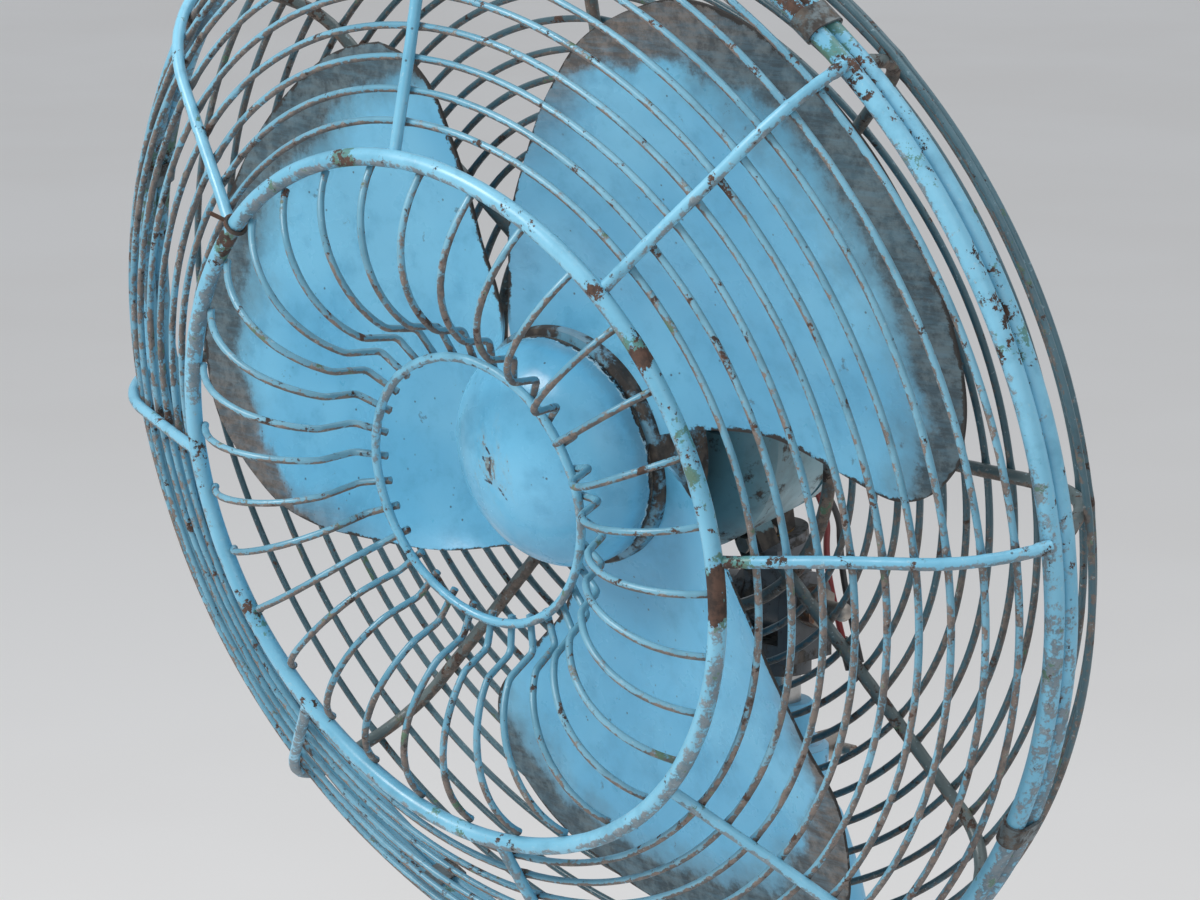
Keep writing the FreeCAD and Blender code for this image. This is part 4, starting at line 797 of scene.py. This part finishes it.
# ---- spinner -------------------------------------------------------------------------------
def spinner_material():
    """Spinner enamel: scratched nose with flakes, and a cracked crust of dirt round the base."""
    g = Graph("spinner_enamel")
    colour = paint_colour(g)
    ring, nose, scratch = (g.attribute(k) for k in ("base_mm", "nose_mm", "scratch_mm"))
    broad = g.centred(40.0, 5, 0.7)
    ragged = g.centred(210.0, 7, 0.75)
    fine = g.centred(600.0, 5, 0.7)
    level = g.add(ring, g.times(ragged, 6.0), g.times(broad, 7.0))
    crust = g.ramp(level, 1.2, 0.7)
    soot = g.ramp(g.add(ragged, g.times(fine, 0.7)), -0.10, 0.12)
    colour = g.mix(crust, colour, g.mix(soot, (0.040, 0.034, 0.028), (0.150, 0.125, 0.100)))
    stain = g.times(g.times(g.ramp(level, 8.5, 3.5), 0.35), g.ramp(crust, 1.0, 0.0))
    colour = g.mix(stain, colour, (0.120, 0.170, 0.190))
    # a black crack in the crust, with peeled pale enamel beside it
    wander = g.add(ring, g.times(ragged, 5.0), g.times(broad, 5.0))
    crack = g.ramp(g.math("ABSOLUTE", g.math("SUBTRACT", wander, 0.7)), 0.40, 0.22)
    peel = g.ramp(g.math("ABSOLUTE", g.math("SUBTRACT", wander, 1.4)), 0.45, 0.22)
    broken = g.ramp(g.noise(95.0, 4, 0.65), 0.47, 0.52)
    colour = g.mix(g.times(peel, broken), colour, (0.42, 0.56, 0.62))
    colour = g.mix(crack, colour, (0.012, 0.010, 0.009))
    # scraped nose: streaks of bare metal and yellowed flakes round a few dark scratches
    streaks = g.centred(150.0, 6, 0.75, coords=g.stretched((1.0, 1.0, 0.35)))
    scraped = g.add(nose, g.times(streaks, 55.0))
    flakes = g.ramp(g.add(scraped, g.times(fine, 30.0)), 4.2, 3.0)
    tone = g.mix(g.ramp(fine, -0.05, 0.08), (0.150, 0.110, 0.075), (0.330, 0.330, 0.200))
    colour = g.mix(g.times(flakes, 0.75), colour, tone)
    scuffed = g.times(g.ramp(scraped, 13.0, 4.0), 0.28)
    colour = g.mix(scuffed, colour, (0.210, 0.330, 0.360))
    cut = g.ramp(g.add(scratch, g.times(ragged, 3.4)), 0.62, 0.30)
    colour = g.mix(cut, colour, (0.022, 0.028, 0.042))
    return finish_enamel(g, colour, g.times(flakes, 0.25), crust, 0.25)


# The nose's scratches: start and end, millimetres right of and above the scraped place's middle.
SCRATCHES = (((-3.5, 4.5), (-0.5, -1.5)), ((-0.5, -1.5), (0.5, 6.5)), ((0.5, 6.5), (-1.5, 8.5)),
             ((2.5, -5.0), (6.0, -10.5)), ((-4.5, -4.5), (-0.5, -5.0)))


def scratch_distance(x, z):
    """Distance in millimetres from the nearest of the nose's scratches."""
    nearest = np.full(x.shape, 99.0)
    for (x0, z0), (x1, z1) in SCRATCHES:
        dx, dz = x1 - x0, z1 - z0
        share = np.clip(((x - x0) * dx + (z - z0) * dz) / (dx * dx + dz * dz), 0, 1)
        nearest = np.minimum(nearest, np.hypot(x - x0 - share * dx, z - z0 - share * dz))
    return nearest


def dome_rows(radius, depth, base=61.0, count=60):
    """Profile (out, rear) of a full dome, from its nose to its base."""
    a = np.radians(90.0 * np.arange(1, count) / count)
    out = np.concatenate([[0.0], radius * np.sin(a) ** 0.97, [radius]])
    rear = np.concatenate([[base - depth], base - depth * np.cos(a) ** 0.92, [base]])
    return np.stack([out, rear], 1)


def make_spinner():
    """Thin dome with a rolled base."""
    rolled = [(43.6, 62.2), (43.4, 63.6), (42.4, 64.0), (42.2, 62.0)]
    rows = np.concatenate([dome_rows(43.5, 28.5), rolled, dome_rows(42.2, 27.2)[::-1]])
    segments = 180
    verts, base_mm, nose_mm, scratch_mm = [], [], [], []
    for k in range(segments):
        a = 2 * math.pi * k / segments
        verts.append(np.stack([rows[:, 0] * math.cos(a), rows[:, 1], rows[:, 0] * math.sin(a)], 1))
        clean = 3.0 * max(0.0, math.cos(a - math.radians(-105))) ** 3
        base_mm.append(np.maximum(0, 62.6 - rows[:, 1]) + clean)
        x, z = rows[:, 0] * math.cos(a) + 8, rows[:, 0] * math.sin(a) - 1
        nose_mm.append(np.hypot(x * 1.3, z * 0.8))
        scratch_mm.append(scratch_distance(x, z))
    n = len(rows)
    faces = []
    for k in range(segments):
        m = (k + 1) % segments
        for i in range(n - 1):
            faces.append((k * n + i, m * n + i, m * n + i + 1, k * n + i + 1))
    verts = world(np.concatenate(verts))
    obj = mesh_object("spinner_dome", verts, faces, spinner_material(),
                      {"base_mm": np.concatenate(base_mm), "nose_mm": np.concatenate(nose_mm),
                       "scratch_mm": np.concatenate(scratch_mm)}, 35)
    place(obj, "rotor", "spinner")


make_spinner()


# ---- carried-over CAD nodes ----------------------------------------------------------------
FINISHES = {
    casting: ("base_plate", "pole_socket", "pole_collar", "control_housing", "control_base"),
    casting_motor_painted_shade: ("motor_front_shell", "motor_rear_shell", "gear_housing", "gear_cover"),
    casting_hub_painted_shade: ("blade_hub",),
    tube_blue: ("outer_pole",),
    casting_dark: ("tilt_fork", "tilt_wing_nut", "tilt_block", "guard_brackets"),
    steel_bare: ("socket_bolts", "height_screw", "dial_plate", "tilt_bolt", "link_arm", "motor_bolts",
                 "head_screws", "clutch_knob", "crank_spindle"),
    steel_shaft: ("inner_pole", "swivel_stud", "motor_shaft"),
    rusty: ("wire_tie",),
    casting_clip: ("guard_clips",),
    bronze: ("mast_guide", "thrust_washer", "front_bearing", "rear_bearing", "worm_wheel"),
    copper: ("stator_windings",),
    lamination: ("stator_core", "rotor_core"),
    rubber: ("rubber_feet", "cable_gland", "lead_grommet", "lead_sleeve"),
    bakelite: ("speed_regulator", "control_knob"),
}
red_curve.data.materials.append(red_lead)
black_curve.data.materials.append(black_lead)
for material, names in FINISHES.items():
    for name in names:
        slots = nodes[name].data.materials
        if not slots:
            slots.append(material)
        for index in range(len(slots)):
            slots[index] = material


# ---- stage ---------------------------------------------------------------------------------
def make_stage():
    """Pale floor, even sky and three soft lamps."""
    g = Graph("pale_floor")
    tone = g.ramp(g.noise(0.8, 3), 0.35, 0.65)
    g.set(g.bsdf.inputs["Base Color"], g.mix(tone, (0.86, 0.845, 0.83), (0.89, 0.88, 0.87)))
    g.bsdf.inputs["Roughness"].default_value = 0.9
    size = 45.0
    corners = [(-size, -size, 0), (size, -size, 0), (size, size, 0), (-size, size, 0)]
    floor = mesh_object("floor", corners, [(0, 1, 2, 3)], g.mat)
    scene = bpy.context.scene
    surroundings = bpy.data.worlds.new("studio")
    surroundings.use_nodes = True
    background = surroundings.node_tree.nodes["Background"]
    background.inputs["Color"].default_value = (0.90, 0.93, 0.97, 1)
    background.inputs["Strength"].default_value = 0.58
    scene.world = surroundings
    scene.view_settings.view_transform = "Standard"

    def area(name, location, target, size, power, colour):
        data = bpy.data.lights.new(name, "AREA")
        data.size = size
        data.energy = power
        data.color = colour
        lamp = bpy.data.objects.new(name, data)
        lamp.location = location
        lamp.rotation_euler = (Vector(target) - Vector(location)).to_track_quat("-Z", "Y").to_euler()
        scene.collection.objects.link(lamp)

    area("key", (-1.0, -2.3, 2.9), (0, 0, 0.98), 1.3, 84, (1.0, 0.985, 0.96))
    area("fill", (2.6, -1.6, 1.9), (0, 0, 0.95), 2.2, 16, (0.93, 0.97, 1.0))
    area("top", (0.3, 0.6, 3.2), (0, 0, 0.95), 2.0, 22, (1, 1, 1))


make_stage()
